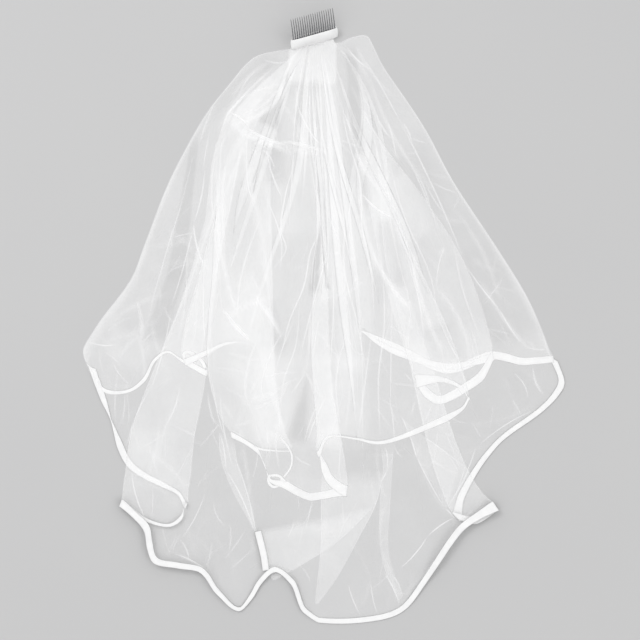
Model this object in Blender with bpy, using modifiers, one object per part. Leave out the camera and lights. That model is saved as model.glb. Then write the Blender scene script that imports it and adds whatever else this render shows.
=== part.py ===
"""Bridal veil laid flat: two tiers of gathered net with satin edges on a covered comb.

The veil lies on its back in the XY plane with the comb's teeth towards +Y. Each tier is one
sheet. Its rays run from the gathers at the comb to the hem, and its hem doubles back and
forth in flutes and pleats, which lie on each other. The sizes below are in millimetres.
"""

import math
from collections import namedtuple

import bmesh
import bpy
import numpy as np
from mathutils import Matrix, Vector

MM = 0.001

# The middle of the laid veil's own box, which becomes the origin
ORIGIN = (1.27, -3.33)

# Cloth
NET_WALL = 1.0
RIBBON_WALL = 1.2
RIBBON_WIDTH = 12.0
SEAM_GAP = 0.3
TIER_GAP = 0.3
REST_LEVEL = NET_WALL / 2

# Comb and its satin band
BAND_CENTRE = (-15.9, 381.3)
BAND_LENGTH = 70.0
BAND_WIDTH = 16.0
BAND_HEIGHT = 7.5
BAND_WALL = 1.2
BAND_RINGS = 6
BAND_END_STEPS = 6
BAND_LIP = 0.18
ROUND_CORNER_SHARE = 0.945
SPINE_TILT = math.radians(17.0)
TEETH_LEAN = math.radians(5.0)
TEETH_PITCH = math.radians(45.0)
TEETH = 20
TOOTH_LENGTH = 34.0
SPINE_LENGTH = 62.0
SPINE_WIDTH = 4.5
SPINE_HEIGHT = 3.8
SPINE_SEAT = 3.5
GATHER_LENGTH = 55.0
LOWER_SEAT = -1.3
UPPER_SEAT = 0.9
GATHER_FALL = 3
GATHER_REACH = 0.44
EVEN_GATHER = 30.0

# How the heap stands: folds are low at the comb and reach their full rise at the hem
RISE_AT_COMB = 0.12
RISE_CURVE = 0.35
WAVE_RISE = 3.0

# Rays of a sheet: where they are sampled and how far their ends run straight
RAY_STEPS = (0.0, 0.05, 0.12, 0.19, 0.26, 0.34, 0.44, 0.57, 0.71, 0.86, 1.0)
LEAVE_REACH = 0.16
ARRIVE_REACH = 0.12
FAN_END = 0.08
FOLDS_START = 0.5
RISE_STARTS = 0.05
RISE_PARTED = 0.45
HEM_STEP = 26.0
COLUMNS_PER_WAVE = 5
BEND_ANGLES = (60.0, 120.0)
SIDE_BLEND = 0.16
BOW_AT_MIDDLE = 0.4
RAY_SQUARE_SHARE = 0.2
HEM_EASE = 14.0
GATHER_EASE = 0.02
RIBBON_SQUARE_SHARE = 0.8
LEAST_FACING = 0.6

# A row is one fold, flute or turn of a hem, from the left corner to the right one. across and
# along are its place, rise is how high it lies, step is how far the hem steps up or down where
# it turns back there, bow is how far its ray bows to the right, and waves are the small gathers
# up to the next row
Fold = namedtuple("Fold", "across along rise step bow waves")

LOWER_HEM = (
    Fold(-323, -72, 0.0, 0, 0, 0),
    Fold(-310, -108, 0.0, 0, 0, 0),
    Fold(-295, -151, 0.0, 0, 0, 0),
    Fold(-271, -205, 0.0, 0, -8, 0),
    Fold(-229, -232, 0.0, 0, -10, 0),
    Fold(-192, -266, 0.0, 4.5, -12, 0),
    Fold(-212, -289, 4.5, 0, -15, 0),
    Fold(-245, -283, 4.5, 0, -22, 0),
    Fold(-281, -259, 4.5, 4.5, -28, 0),
    Fold(-247, -293, 9.0, 0, -32, 0),
    Fold(-235, -337, 9.0, 0, -38, 0),
    Fold(-175, -349, 9.0, 0, -60, 1),
    Fold(-149, -381, 5.0, 0, -75, 1),
    Fold(-118, -405, 1.0, 0, -90, 0),
    Fold(-90, -366, 3.0, 0, -70, 0),
    Fold(-70, -350, 5.0, 0, -50, 0),
    Fold(-46, -368, 5.0, 0, -30, 1),
    Fold(-31, -405, 2.0, 0, -15, 0),
    Fold(-11, -420, 0.0, 0, -10, 2),
    Fold(51, -420, 0.0, 0, 0, 2),
    Fold(103, -406, 0.0, 0, 0, 1),
    Fold(137, -364, 3.0, 0, -10, 0),
    Fold(157, -333, 8.0, 0, -20, 0),
    Fold(188, -291, 9.0, 0, -35, 0),
    Fold(232, -263, 9.0, -4.5, -55, 0),
    Fold(205, -282, 4.5, 0, -45, 0),
    Fold(181, -277, 4.5, -4.5, -36, 0),
    Fold(185, -255, 0.0, 0, -25, 0),
    Fold(204, -218, 0.0, 0, -10, 0),
    Fold(240, -172, 0.0, 0, 0, 0),
    Fold(300, -127, 0.0, 0, 0, 0),
    Fold(325, -92, 0.0, 0, 0, 0),
    Fold(314, -60, 0.0, 0, 0, 0),
)

UPPER_HEM = (
    Fold(-323, -72, 0.0, 0, 0, 0),
    Fold(-306, -103, 2.0, 0, 0, 0),
    Fold(-272, -104, 6.0, 0, 0, 0),
    Fold(-250, -88, 9.0, 0, 0, 0),
    Fold(-236, -62, 11.0, 0, 0, 0),
    Fold(-218, -50, 12.0, 0, -5, 0),
    Fold(-198, -62, 11.0, 0, -20, 0),
    Fold(-165, -79, 10.0, 4.5, -30, 0),
    Fold(-193, -64, 14.5, 4.5, -35, 0),
    Fold(-166, -52, 19.0, 0, -35, 0),
    Fold(-104, -40, 19.0, 0, -30, 0),
    Fold(-66, -150, 19.0, 0, -25, 0),
    Fold(-49, -186, 19.0, 4.5, -30, 0),
    Fold(-90, -183, 23.5, 0, -55, 0),
    Fold(-128, -164, 23.5, 4.5, -80, 0),
    Fold(-93, -186, 28.0, 0, -55, 1),
    Fold(-76, -226, 28.0, 0, -40, 0),
    Fold(-56, -232, 28.0, 0, -25, 0),
    Fold(-40, -241, 26.0, 0, -15, 0),
    Fold(-22, -249, 17.0, 0, -5, 1),
    Fold(27, -241, 14.0, 4.5, 0, 0),
    Fold(6, -226, 18.5, 0, 0, 0),
    Fold(-10, -190, 18.5, 4.5, 0, 0),
    Fold(2, -167, 23.0, 0, 0, 0),
    Fold(40, -169, 22.0, 0, 0, 2),
    Fold(83, -173, 23.0, 0, 5, 2),
    Fold(164, -141, 27.5, 0, 10, 0),
    Fold(196, -110, 27.5, -4.5, 10, 0),
    Fold(160, -88, 23.0, 0, 5, 0),
    Fold(125, -90, 23.0, -4.5, 0, 0),
    Fold(155, -116, 18.5, 0, 5, 0),
    Fold(212, -84, 18.5, 0, 20, 0),
    Fold(228, -57, 18.5, -4.5, 30, 0),
    Fold(167, -70, 14.0, 0, 20, 0),
    Fold(91, -48, 14.0, 0, 5, 0),
    Fold(50, -22, 14.0, -4.5, 0, 0),
    Fold(95, -42, 9.5, 0, 5, 0),
    Fold(165, -74, 9.5, 0, 15, 0),
    Fold(228, -55, 6.0, 0, 20, 0),
    Fold(268, -63, 3.0, 0, 10, 0),
    Fold(314, -60, 0.0, 0, 0, 0),
)

# The way a ray leaves the comb, in degrees from straight down, across the gathers from 0 to 1
Leave = namedtuple("Leave", "share angle")

LEAVES = (
    Leave(0.0, -95.0),
    Leave(0.1, -50.0),
    Leave(0.3, -20.0),
    Leave(0.5, 0.0),
    Leave(0.7, 20.0),
    Leave(0.9, 50.0),
    Leave(1.0, 90.0),
)

# The doubled side edges, which both tiers share, from the comb to the side corners
Edge = namedtuple("Edge", "across along")

LEFT_EDGE = (
    Edge(-88, 360),
    Edge(-109, 347),
    Edge(-130, 322),
    Edge(-168, 273),
    Edge(-215, 187),
    Edge(-249, 100),
    Edge(-270, 48),
    Edge(-312, -8),
    Edge(-331, -42),
    Edge(-330, -60),
    Edge(-323, -72),
)

RIGHT_EDGE = (
    Edge(14, 374),
    Edge(34, 383),
    Edge(56, 386),
    Edge(66, 370),
    Edge(80, 342),
    Edge(109, 300),
    Edge(140, 252),
    Edge(176, 184),
    Edge(229, 104),
    Edge(274, 32),
    Edge(298, -20),
    Edge(308, -48),
    Edge(314, -60),
)


# Sections of a tooth: where one ends along the tooth, how much narrower and thinner it is than
# the one before, and how far it curves out of the comb's plane
ToothSection = namedtuple("ToothSection", "end width thickness curve")

TOOTH_SECTIONS = (
    ToothSection(0.03, 1.0, 0.5, 0.0),
    ToothSection(0.35, 0.95, 0.95, -0.4),
    ToothSection(0.68, 0.85, 0.9, -1.2),
    ToothSection(0.95, 0.75, 0.85, -2.2),
    ToothSection(1.0, 0.5, 0.6, -0.6),
)


def comb_frame():
    """The comb's own frame: x along its spine, y along its teeth, z out of its flat side."""
    slope = -math.atan(math.sin(SPINE_TILT - TEETH_LEAN) / math.tan(TEETH_PITCH))
    spine = Vector(
        (
            math.cos(SPINE_TILT) * math.cos(slope),
            math.sin(SPINE_TILT) * math.cos(slope),
            math.sin(slope),
        )
    )
    teeth = Vector(
        (
            -math.sin(TEETH_LEAN) * math.cos(TEETH_PITCH),
            math.cos(TEETH_LEAN) * math.cos(TEETH_PITCH),
            math.sin(TEETH_PITCH),
        )
    )
    teeth -= spine * teeth.dot(spine)
    teeth.normalize()
    return Matrix((spine, teeth, spine.cross(teeth))).transposed()


COMB_AXES = comb_frame()


def band_lift():
    """Height of the band's centre that keeps its lowest corner just over the surface."""
    half = (BAND_LENGTH / 2, BAND_WIDTH / 2, BAND_HEIGHT / 2)
    drop = sum(abs(COMB_AXES[2][axis]) * half[axis] for axis in range(3))
    return drop * ROUND_CORNER_SHARE


def in_comb(along_spine, along_teeth, out):
    """A point of the comb's frame, in the veil's frame, in millimetres."""
    local = Vector((along_spine, along_teeth, out))
    return Vector((*BAND_CENTRE, band_lift())) + COMB_AXES @ local


def catmull_rom(before, start, end, after, t):
    return 0.5 * (
        2 * start
        + (end - before) * t
        + (2 * before - 5 * start + 4 * end - after) * t * t
        + (3 * start - before - 3 * end + after) * t * t * t
    )


def smooth_run(knots, steps):
    """A smooth curve through the rows of knots, with so many steps between each two."""
    padded = np.vstack([2 * knots[0] - knots[1], knots, 2 * knots[-1] - knots[-2]])
    points = [knots[0]]
    for i, count in enumerate(steps):
        for step in range(1, count + 1):
            points.append(catmull_rom(*padded[i : i + 4], step / count))
    return np.array(points)


def column_count(fold, following):
    span = math.hypot(following.across - fold.across, following.along - fold.along)
    return max(1, round(span / HEM_STEP), COLUMNS_PER_WAVE * fold.waves)


def stretches(folds):
    """The rows of a hem in runs, each from one turn to the next."""
    turns = [i for i, fold in enumerate(folds) if fold.step] + [len(folds) - 1]
    first = 0
    for last in turns:
        yield list(folds[first : last + 1])
        first = last


Hem = namedtuple("Hem", "plan rise bow bulge wave turn")


def hem_columns(folds):
    """The hem's points, a smooth curve in each stretch and a half-round bend at each turn."""
    plan, rise, bow, bulge, wave, turn = [], [], [], [], [], []
    for run in stretches(folds):
        knots = np.array([(f.across, f.along, f.rise, f.bow) for f in run], float)
        knots[0, 2] += run[0].step
        steps = [column_count(*pair) for pair in zip(run, run[1:])]
        points = smooth_run(knots, steps)
        points[:, 2] = np.maximum(points[:, 2], 0.0)
        waves = [0.0]
        for fold, count in zip(run, steps):
            for step in range(1, count + 1):
                waves.append((1 - math.cos(2 * math.pi * fold.waves * step / count)) / 2)
        plan += points[:, :2].tolist()
        rise += points[:, 2].tolist()
        bow += points[:, 3].tolist()
        bulge += [0.0] * len(points)
        wave += waves
        turn += [False] * len(points)
        end = run[-1]
        if end.step:
            for angle in BEND_ANGLES:
                around = math.radians(angle)
                plan.append([end.across, end.along])
                rise.append(end.rise + end.step * (1 - math.cos(around)) / 2)
                bow.append(end.bow)
                bulge.append(abs(end.step) / 2 * math.sin(around))
                wave.append(0.0)
                turn.append(True)
    return Hem(*(np.array(column) for column in (plan, rise, bow, bulge, wave, turn)))


def gather_shares(plan):
    """Where each column starts along the gathers, 0 to 1: wider for a longer piece of hem."""
    lengths = np.linalg.norm(np.diff(plan, axis=0), axis=1)
    widths = EVEN_GATHER + np.sqrt(lengths * lengths.mean())
    return np.concatenate([[0.0], np.cumsum(widths) / widths.sum()])


def averaged(values, places, width):
    """Values mixed with their neighbours' within about width of their places."""
    weights = np.exp(-(((places[:, None] - places[None, :]) / width) ** 2))
    return (weights @ values) / (weights.sum(1) if values.ndim == 1 else 1.0)


def outward(hem, ray, square_share):
    """Unit directions out of the hem, square to it, or along the ray where it runs along it,
    and how far each goes for a millimetre square to the hem."""
    steps = np.linalg.norm(np.diff(hem.plan, axis=0), axis=1)
    places = np.concatenate([[0.0], np.cumsum(np.maximum(steps, 0.5))])
    along = np.gradient(hem.plan, places, axis=0)
    along /= np.maximum(np.linalg.norm(along, axis=1)[:, None], 1e-6)
    square = np.stack([along[:, 1], -along[:, 0]], axis=1)
    facing = (square * ray).sum(1)[:, None]
    blend = square_share * square * facing + (1 - square_share) * ray
    directions = averaged(blend, places, HEM_EASE)
    directions /= np.linalg.norm(directions, axis=1)[:, None]
    skew = np.abs((directions * square).sum(1))
    return directions, averaged(1 / np.maximum(skew, LEAST_FACING), places, HEM_EASE / 2)[:, None]


def side_lines(edge, start, ray_steps):
    """Points down a doubled side edge, by share of its length."""
    knots = np.array([start, *edge], float)
    line = smooth_run(knots, [4] * len(edge))
    lengths = np.linalg.norm(np.diff(line, axis=0), axis=1)
    share = np.concatenate([[0.0], np.cumsum(lengths) / lengths.sum()])
    return np.stack([np.interp(ray_steps, share, line[:, axis]) for axis in range(2)], axis=1)


def bezier(controls, v):
    """A quartic curve's point at v."""
    weights = (
        (1 - v) ** 4,
        4 * (1 - v) ** 3 * v,
        6 * (1 - v) ** 2 * v * v,
        4 * (1 - v) * v**3,
        v**4,
    )
    return sum(w * c for w, c in zip(weights, controls))


def eased(v, start, end):
    """A smooth step from 0 at start to 1 at end."""
    t = min(max((v - start) / (end - start), 0.0), 1.0)
    return t * t * (3 - 2 * t)


def eased_step(v):
    """How far a ray has gone over from the even fan at the comb to its fold."""
    return eased(v, FAN_END, FOLDS_START)


def mixed(first, second, share):
    return first * (1 - share) + second * share


def rise_share(v):
    return RISE_AT_COMB + (1 - RISE_AT_COMB) * v**RISE_CURVE


def sheet_rows(folds, lift, seat, ray_steps):
    """A tier's points in rows from the comb to the hem, and the directions out of its hem.
    lift is its level over the surface, and seat its place in the band's mouth."""
    hem = hem_columns(folds)
    share = gather_shares(hem.plan)
    lip = -BAND_WIDTH / 2 - SEAM_GAP
    gather = np.array([in_comb((s - 0.5) * GATHER_LENGTH, lip, seat) for s in share])
    start = gather[:, :2]
    reach = np.linalg.norm(hem.plan - start, axis=1)[:, None]
    ray = (hem.plan - start) / reach
    ends, _ = outward(hem, ray, RAY_SQUARE_SHARE)
    sideways = np.stack([-ray[:, 1], ray[:, 0]], axis=1)
    travel = np.sign((np.gradient(hem.plan, axis=0) * sideways).sum(1))
    for column in np.flatnonzero(hem.turn):
        travel[column] = travel[column - 2]
    leave = np.radians(
        np.interp(share, [row.share for row in LEAVES], [row.angle for row in LEAVES])
    )
    leaving = np.stack([np.sin(leave), -np.cos(leave)], axis=1)
    bowed = sideways * hem.bow[:, None]
    folded = (
        start,
        start + leaving * reach * LEAVE_REACH,
        (start + hem.plan) / 2 + bowed * BOW_AT_MIDDLE,
        hem.plan - ends * reach * ARRIVE_REACH + bowed,
        hem.plan,
    )
    slants = np.arctan2(ray[:, 0], -ray[:, 1])
    slant = slants[0] + (slants[-1] - slants[0]) * share
    spread = start + reach * np.stack([np.sin(slant), -np.cos(slant)], axis=1)
    fanned = (*folded[:2], (start + spread) / 2, (start + 3 * spread) / 4, spread)
    left = side_lines(LEFT_EDGE, start[0], ray_steps)
    right = side_lines(RIGHT_EDGE, start[-1], ray_steps)
    near_left = np.clip(1 - share / SIDE_BLEND, 0, 1)[:, None] ** 2
    near_right = np.clip(1 - (1 - share) / SIDE_BLEND, 0, 1)[:, None] ** 2
    gathered_rise = averaged(hem.rise, share, GATHER_EASE)
    hang = gather[:, 2] - (REST_LEVEL + lift + gathered_rise * RISE_AT_COMB)
    rows = []
    for v, left_point, right_point in zip(ray_steps, left, right):
        plan = mixed(bezier(fanned, v), bezier(folded, v), eased_step(v))
        plan = (
            plan
            + near_left * (left_point - plan[0])
            + near_right * (right_point - plan[-1])
            + sideways * (hem.bulge * travel * rise_share(v) * eased_step(v))[:, None]
        )
        rise = mixed(gathered_rise, hem.rise, eased(v, RISE_STARTS, RISE_PARTED))
        height = REST_LEVEL + lift + rise * rise_share(v)
        height = height + WAVE_RISE * hem.wave * v * v * (1 - v**6)
        height = height + hang * max(1 - v / GATHER_REACH, 0.0) ** GATHER_FALL
        rows.append(np.column_stack([plan, height]))
    arriving = hem.plan - rows[-2][:, :2]
    arriving /= np.linalg.norm(arriving, axis=1)[:, None]
    out, length = outward(hem, arriving, RIBBON_SQUARE_SHARE)
    return rows, out * length


def new_object(name, mesh, collection, material):
    ob = bpy.data.objects.new(name, mesh)
    mesh.materials.append(material)
    collection.objects.link(ob)
    return ob


def sheet_mesh(name, rows):
    """An open sheet through rows of points, smooth shaded."""
    columns = len(rows[0])
    vertices = [tuple(float(c) * MM for c in point) for row in rows for point in row]
    faces = [
        (
            r * columns + c,
            (r + 1) * columns + c,
            (r + 1) * columns + c + 1,
            r * columns + c + 1,
        )
        for r in range(len(rows) - 1)
        for c in range(columns - 1)
    ]
    mesh = bpy.data.meshes.new(name)
    mesh.from_pydata(vertices, [], faces)
    mesh.shade_smooth()
    return mesh


def add_wall(ob, thickness):
    wall = ob.modifiers.new("wall", "SOLIDIFY")
    wall.thickness = thickness * MM
    wall.offset = 0.0
    wall.use_even_offset = False
    return wall


def make_tier(name, folds, lift, seat, collection, material):
    rows, out = sheet_rows(folds, lift, seat, RAY_STEPS)
    rows[-1][:, :2] -= out * (RIBBON_WIDTH / 2 + SEAM_GAP)
    ob = new_object(name, sheet_mesh(name, rows), collection, material)
    add_wall(ob, NET_WALL)
    return ob


def make_ribbon(name, folds, lift, seat, collection, material):
    """A satin edge beyond the net's own edge, centred on the hem."""
    rows, out = sheet_rows(folds, lift, seat, RAY_STEPS)
    inner = rows[-1] + (0, 0, (RIBBON_WALL - NET_WALL) / 2)
    outer = inner.copy()
    inner[:, :2] -= out * RIBBON_WIDTH / 2
    outer[:, :2] += out * RIBBON_WIDTH / 2
    ob = new_object(name, sheet_mesh(name, [inner, outer]), collection, material)
    add_wall(ob, RIBBON_WALL)
    return ob


def make_satin_band(collection, material):
    """The satin wrap: a flat tube round the comb's spine and the gathered net, open at both
    long sides, a little fuller in the middle of its width."""
    rings = []
    for ring in range(BAND_RINGS):
        t = ring / (BAND_RINGS - 1) * 2 - 1
        fullness = 1 - BAND_LIP * t * t
        half_length = BAND_LENGTH / 2 - BAND_WALL / 2 - (BAND_HEIGHT / 2) * (1 - fullness)
        radius = (BAND_HEIGHT - BAND_WALL) / 2 * fullness
        straight = half_length - radius
        ring_points = []
        for side in (1, -1):
            for step in range(BAND_END_STEPS + 1):
                around = math.pi * (step / BAND_END_STEPS - 0.5) + (0 if side > 0 else math.pi)
                across = side * straight + radius * math.cos(around)
                ring_points.append(in_comb(across, t * BAND_WIDTH / 2, radius * math.sin(around)))
        rings.append(ring_points)
    rows = np.array([[tuple(point) for point in ring + ring[:1]] for ring in rings])
    mesh = sheet_mesh("satin_band", rows)
    bm = bmesh.new()
    bm.from_mesh(mesh)
    bmesh.ops.remove_doubles(bm, verts=bm.verts, dist=0.00001)
    bmesh.ops.recalc_face_normals(bm, faces=bm.faces)
    bm.to_mesh(mesh)
    bm.free()
    band = new_object("satin_band", mesh, collection, material)
    add_wall(band, BAND_WALL)
    return band


def make_comb(collection, material):
    """The comb: teeth drawn out of every second face of a divided bar, tapered and curved."""
    bm = bmesh.new()
    bmesh.ops.create_cube(bm, size=1.0)
    bmesh.ops.scale(bm, vec=(SPINE_LENGTH, SPINE_WIDTH, SPINE_HEIGHT), verts=bm.verts)
    slices = 2 * TEETH - 1
    for cut in range(1, slices):
        place = Vector((SPINE_LENGTH * (cut / slices - 0.5), 0, 0))
        geometry = bm.verts[:] + bm.edges[:] + bm.faces[:]
        bmesh.ops.bisect_plane(bm, geom=geometry, plane_co=place, plane_no=(1, 0, 0))
    edge = SPINE_WIDTH / 2
    roots = sorted(
        (f for f in bm.faces if f.normal.y > 0.9), key=lambda f: f.calc_center_median().x
    )[::2]
    tips = roots
    reach = edge
    for end, width, thickness, curve in TOOTH_SECTIONS:
        step = TOOTH_LENGTH * end + edge - reach
        reach += step
        tips = bmesh.ops.extrude_discrete_faces(bm, faces=tips)["faces"]
        for face in tips:
            centre = face.calc_center_median()
            for vert in face.verts:
                vert.co.x = centre.x + (vert.co.x - centre.x) * width
                vert.co.z = centre.z + (vert.co.z - centre.z) * thickness
                vert.co += Vector((0, step, curve))
    mesh = bpy.data.meshes.new("comb")
    bm.to_mesh(mesh)
    bm.free()
    seat = in_comb(0.0, SPINE_SEAT, 0.0)
    mesh.transform(Matrix.Translation(seat) @ COMB_AXES.to_4x4())
    mesh.transform(Matrix.Scale(MM, 4))
    mesh.shade_smooth()
    mesh.set_sharp_from_angle(angle=math.radians(35))
    return new_object("comb", mesh, collection, material)


def make_material(name, colour, roughness):
    material = bpy.data.materials.new(name)
    material.use_nodes = True
    shader = material.node_tree.nodes["Principled BSDF"]
    shader.inputs["Base Color"].default_value = (*colour, 1.0)
    shader.inputs["Roughness"].default_value = roughness
    shader.inputs["Metallic"].default_value = 0.0
    return material


def main():
    for ob in list(bpy.data.objects):
        bpy.data.objects.remove(ob, do_unlink=True)
    veil = bpy.data.collections.new("bridal_veil")
    bpy.context.scene.collection.children.link(veil)
    net = make_material("white_net", (0.85, 0.85, 0.86), 0.6)
    satin = make_material("white_satin", (0.93, 0.93, 0.93), 0.35)
    plastic = make_material("clear_comb_plastic", (0.75, 0.75, 0.76), 0.2)
    lift = NET_WALL + TIER_GAP
    make_tier("tulle_lower_tier", LOWER_HEM, 0.0, LOWER_SEAT, veil, net)
    make_tier("tulle_upper_tier", UPPER_HEM, lift, UPPER_SEAT, veil, net)
    make_ribbon("hem_ribbon_lower", LOWER_HEM, 0.0, LOWER_SEAT, veil, satin)
    make_ribbon("hem_ribbon_upper", UPPER_HEM, lift, UPPER_SEAT, veil, satin)
    make_satin_band(veil, satin)
    make_comb(veil, plastic)
    for ob in veil.objects:
        ob.location = (-ORIGIN[0] * MM, -ORIGIN[1] * MM, 0.0)


main()
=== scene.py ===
"""Bridal veil laid flat: sheer net in two tiers, satin edges, a ruched band and a clear comb.

Sizes are in millimetres, in the veil's own plan: +Y towards the comb, +Z off the surface.
"""
import math
from collections import namedtuple

import bmesh
import bpy
import numpy as np
from mathutils import Matrix, Vector
from mathutils.bvhtree import BVHTree


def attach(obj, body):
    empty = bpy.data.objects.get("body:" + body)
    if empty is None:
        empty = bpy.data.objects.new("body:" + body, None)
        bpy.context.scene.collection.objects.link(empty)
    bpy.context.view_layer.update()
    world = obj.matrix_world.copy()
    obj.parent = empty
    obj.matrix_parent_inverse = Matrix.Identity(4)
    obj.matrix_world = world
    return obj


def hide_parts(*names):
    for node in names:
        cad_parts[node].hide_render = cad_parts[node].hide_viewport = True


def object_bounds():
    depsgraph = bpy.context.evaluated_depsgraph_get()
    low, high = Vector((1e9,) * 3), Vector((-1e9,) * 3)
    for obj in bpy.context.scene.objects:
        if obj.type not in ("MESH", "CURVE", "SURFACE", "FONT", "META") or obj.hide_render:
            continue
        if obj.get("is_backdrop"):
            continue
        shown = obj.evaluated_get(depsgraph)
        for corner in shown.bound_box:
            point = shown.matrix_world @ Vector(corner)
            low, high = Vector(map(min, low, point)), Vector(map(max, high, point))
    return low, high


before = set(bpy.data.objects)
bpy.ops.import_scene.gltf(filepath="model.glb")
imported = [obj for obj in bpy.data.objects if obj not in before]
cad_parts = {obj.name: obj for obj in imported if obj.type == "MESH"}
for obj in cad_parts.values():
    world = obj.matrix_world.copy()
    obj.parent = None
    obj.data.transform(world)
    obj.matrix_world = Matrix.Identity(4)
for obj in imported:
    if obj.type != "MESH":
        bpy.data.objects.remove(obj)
CAD_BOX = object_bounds()

MM = 0.001
ORIGIN = (1.27, -3.33)

# Cloth
NET_WALL = 1.0
TIER_LIFT = 1.3
REST_LEVEL = NET_WALL / 2
RIBBON_WIDTH = 12.0
RIBBON_HALF_THICKNESS = 0.35
RIBBON_SIDES = 10
RIBBON_SQUARENESS = 0.7
RIBBON_CLEAR = 0.1
HEM_INTO_RIBBON = 0.3
TURN_CLEAR = 0.9

# Comb and band, placed as the solids are
BAND_CENTRE = (-15.9, 381.3)
BAND_LENGTH = 70.0
BAND_WIDTH = 16.0
BAND_HEIGHT = 7.5
ROUND_CORNER_SHARE = 0.945
SPINE_TILT = math.radians(17.0)
TEETH_LEAN = math.radians(5.0)
TEETH_PITCH = math.radians(45.0)
TEETH = 20
TOOTH_LENGTH = 34.0
SPINE_LENGTH = 62.0
SPINE_WIDTH = 4.5
SPINE_HEIGHT = 3.8
SPINE_SEAT = 3.5
SPINE_ROUND = 0.7
TOOTH_WIDTH = 1.6
TOOTH_HEIGHT = 2.0
TOOTH_ROOT = 1.0
TOOTH_CURVE = 4.2
TOOTH_TIP_STARTS = 0.93
TOOTH_RINGS = 15
TOOTH_SIDES = 10
GATHER_LENGTH = 55.0
GATHER_MOUTH = -8.3
LOWER_SEAT = -1.3
UPPER_SEAT = 0.9

# How a tier runs from the gathers to its hem
GATHER_FALL = 3
GATHER_REACH = 0.44
EVEN_GATHER = 30.0
RISE_AT_COMB = 0.12
RISE_CURVE = 0.35
WAVE_RISE = 3.0
LEAVE_REACH = 0.16
ARRIVE_REACH = 0.12
FAN_END = 0.08
FOLDS_START = 0.5
RISE_STARTS = 0.05
RISE_PARTED = 0.45
HEM_STEP = 26.0
COLUMNS_PER_WAVE = 5
BEND_ANGLES = (60.0, 120.0)
SIDE_BLEND = 0.16
BOW_AT_MIDDLE = 0.4
RAY_SQUARE_SHARE = 0.2
RIBBON_SQUARE_SHARE = 0.8
LEAST_FACING = 0.6
HEM_EASE = 14.0
GATHER_EASE = 0.02

# How finely the cloth is drawn
FINE_STEP = 4.5
RAY_ROWS = 126

# The pleats that the gathers leave: the part of the comb they start from, their half reach in
# the hem's columns, how far a pleat doubles, where down the cloth it is let out, the gap to the
# next, and the columns that draw one
PLEATED_SHARE = (0.12, 0.9)
PLEAT_REACH = (0.9, 2.0)
PLEAT_WIDTH = (5.0, 17.0)
PLEAT_END = (0.4, 0.9)
PLEAT_APART = 14.0
PLEAT_COLUMNS = (-1, -0.7, -0.45, -1 / 3, -0.22, 0, 0.22, 1 / 3, 0.45, 0.7, 1)
PLEAT_EDGE = 0.12
PLEAT_STACK = 0.4
PLEAT_FLAT = 6.0
PLEAT_GLOW = 0.8
LOWER_PLEAT_SEED = 3
UPPER_PLEAT_SEED = 8
TURN_GLOW = 2.0
SIDE_GLOW = 1.2
PINCH_STEP = 5.0
PINCH_LAYERS = 3.4
PINCH_WIDER = 1.2
PINCH_SOFTER = 0.85
STRAND_WIDER = 1.5
STRAND_SOFTER = 0.6
PINCH_CLEAR = 0.15
PINCH_RAISED = 0.2
FLAP_EDGE = 1.4
FLAP_CLEAR = 0.35
FLAP_FADE = 0.12
FLAP_LAYERS = 1.2
FLAP_EDGE_LAYERS = 3.0
STREAK_STEP = 0.35
STREAK_DEPTH = 0.06

# A row is one fold, flute or turn of a hem, from the left corner to the right one. across and
# along are its place, rise is how high it lies, step is how far the hem steps up or down where
# it turns back there, bow is how far its ray bows to the right, and waves are the small gathers
# up to the next row
Fold = namedtuple("Fold", "across along rise step bow waves")

LOWER_HEM = (
    Fold(-323, -72, 0.0, 0, 0, 0),
    Fold(-310, -108, 0.0, 0, 0, 0),
    Fold(-295, -151, 0.0, 0, 0, 0),
    Fold(-271, -205, 0.0, 0, -8, 0),
    Fold(-229, -232, 0.0, 0, -10, 0),
    Fold(-203, -246, 0.0, 0, -11, 0),
    Fold(-194, -262, 0.0, 4.5, -12, 0),
    Fold(-199, -278, 4.5, 0, -13, 0),
    Fold(-215, -289, 4.5, 0, -15, 0),
    Fold(-245, -283, 4.5, 0, -22, 0),
    Fold(-281, -259, 4.5, 4.5, -28, 0),
    Fold(-247, -293, 9.0, 0, -32, 0),
    Fold(-235, -337, 9.0, 0, -38, 0),
    Fold(-175, -349, 9.0, 0, -60, 1),
    Fold(-149, -381, 5.0, 0, -75, 1),
    Fold(-118, -405, 1.0, 0, -90, 0),
    Fold(-90, -366, 3.0, 0, -70, 0),
    Fold(-70, -350, 5.0, 0, -50, 0),
    Fold(-46, -368, 5.0, 0, -30, 1),
    Fold(-31, -405, 2.0, 0, -15, 0),
    Fold(-11, -420, 0.0, 0, -10, 2),
    Fold(51, -420, 0.0, 0, 0, 2),
    Fold(103, -406, 0.0, 0, 0, 1),
    Fold(137, -364, 3.0, 0, -10, 0),
    Fold(157, -333, 8.0, 0, -20, 0),
    Fold(188, -291, 9.0, 0, -35, 0),
    Fold(232, -263, 9.0, -4.5, -55, 0),
    Fold(205, -282, 4.5, 0, -45, 0),
    Fold(181, -277, 4.5, -4.5, -36, 0),
    Fold(185, -255, 0.0, 0, -25, 0),
    Fold(204, -218, 0.0, 0, -10, 0),
    Fold(240, -172, 0.0, 0, 0, 0),
    Fold(300, -127, 0.0, 0, 0, 0),
    Fold(325, -92, 0.0, 0, 0, 0),
    Fold(314, -60, 0.0, 0, 0, 0),
)

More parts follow.
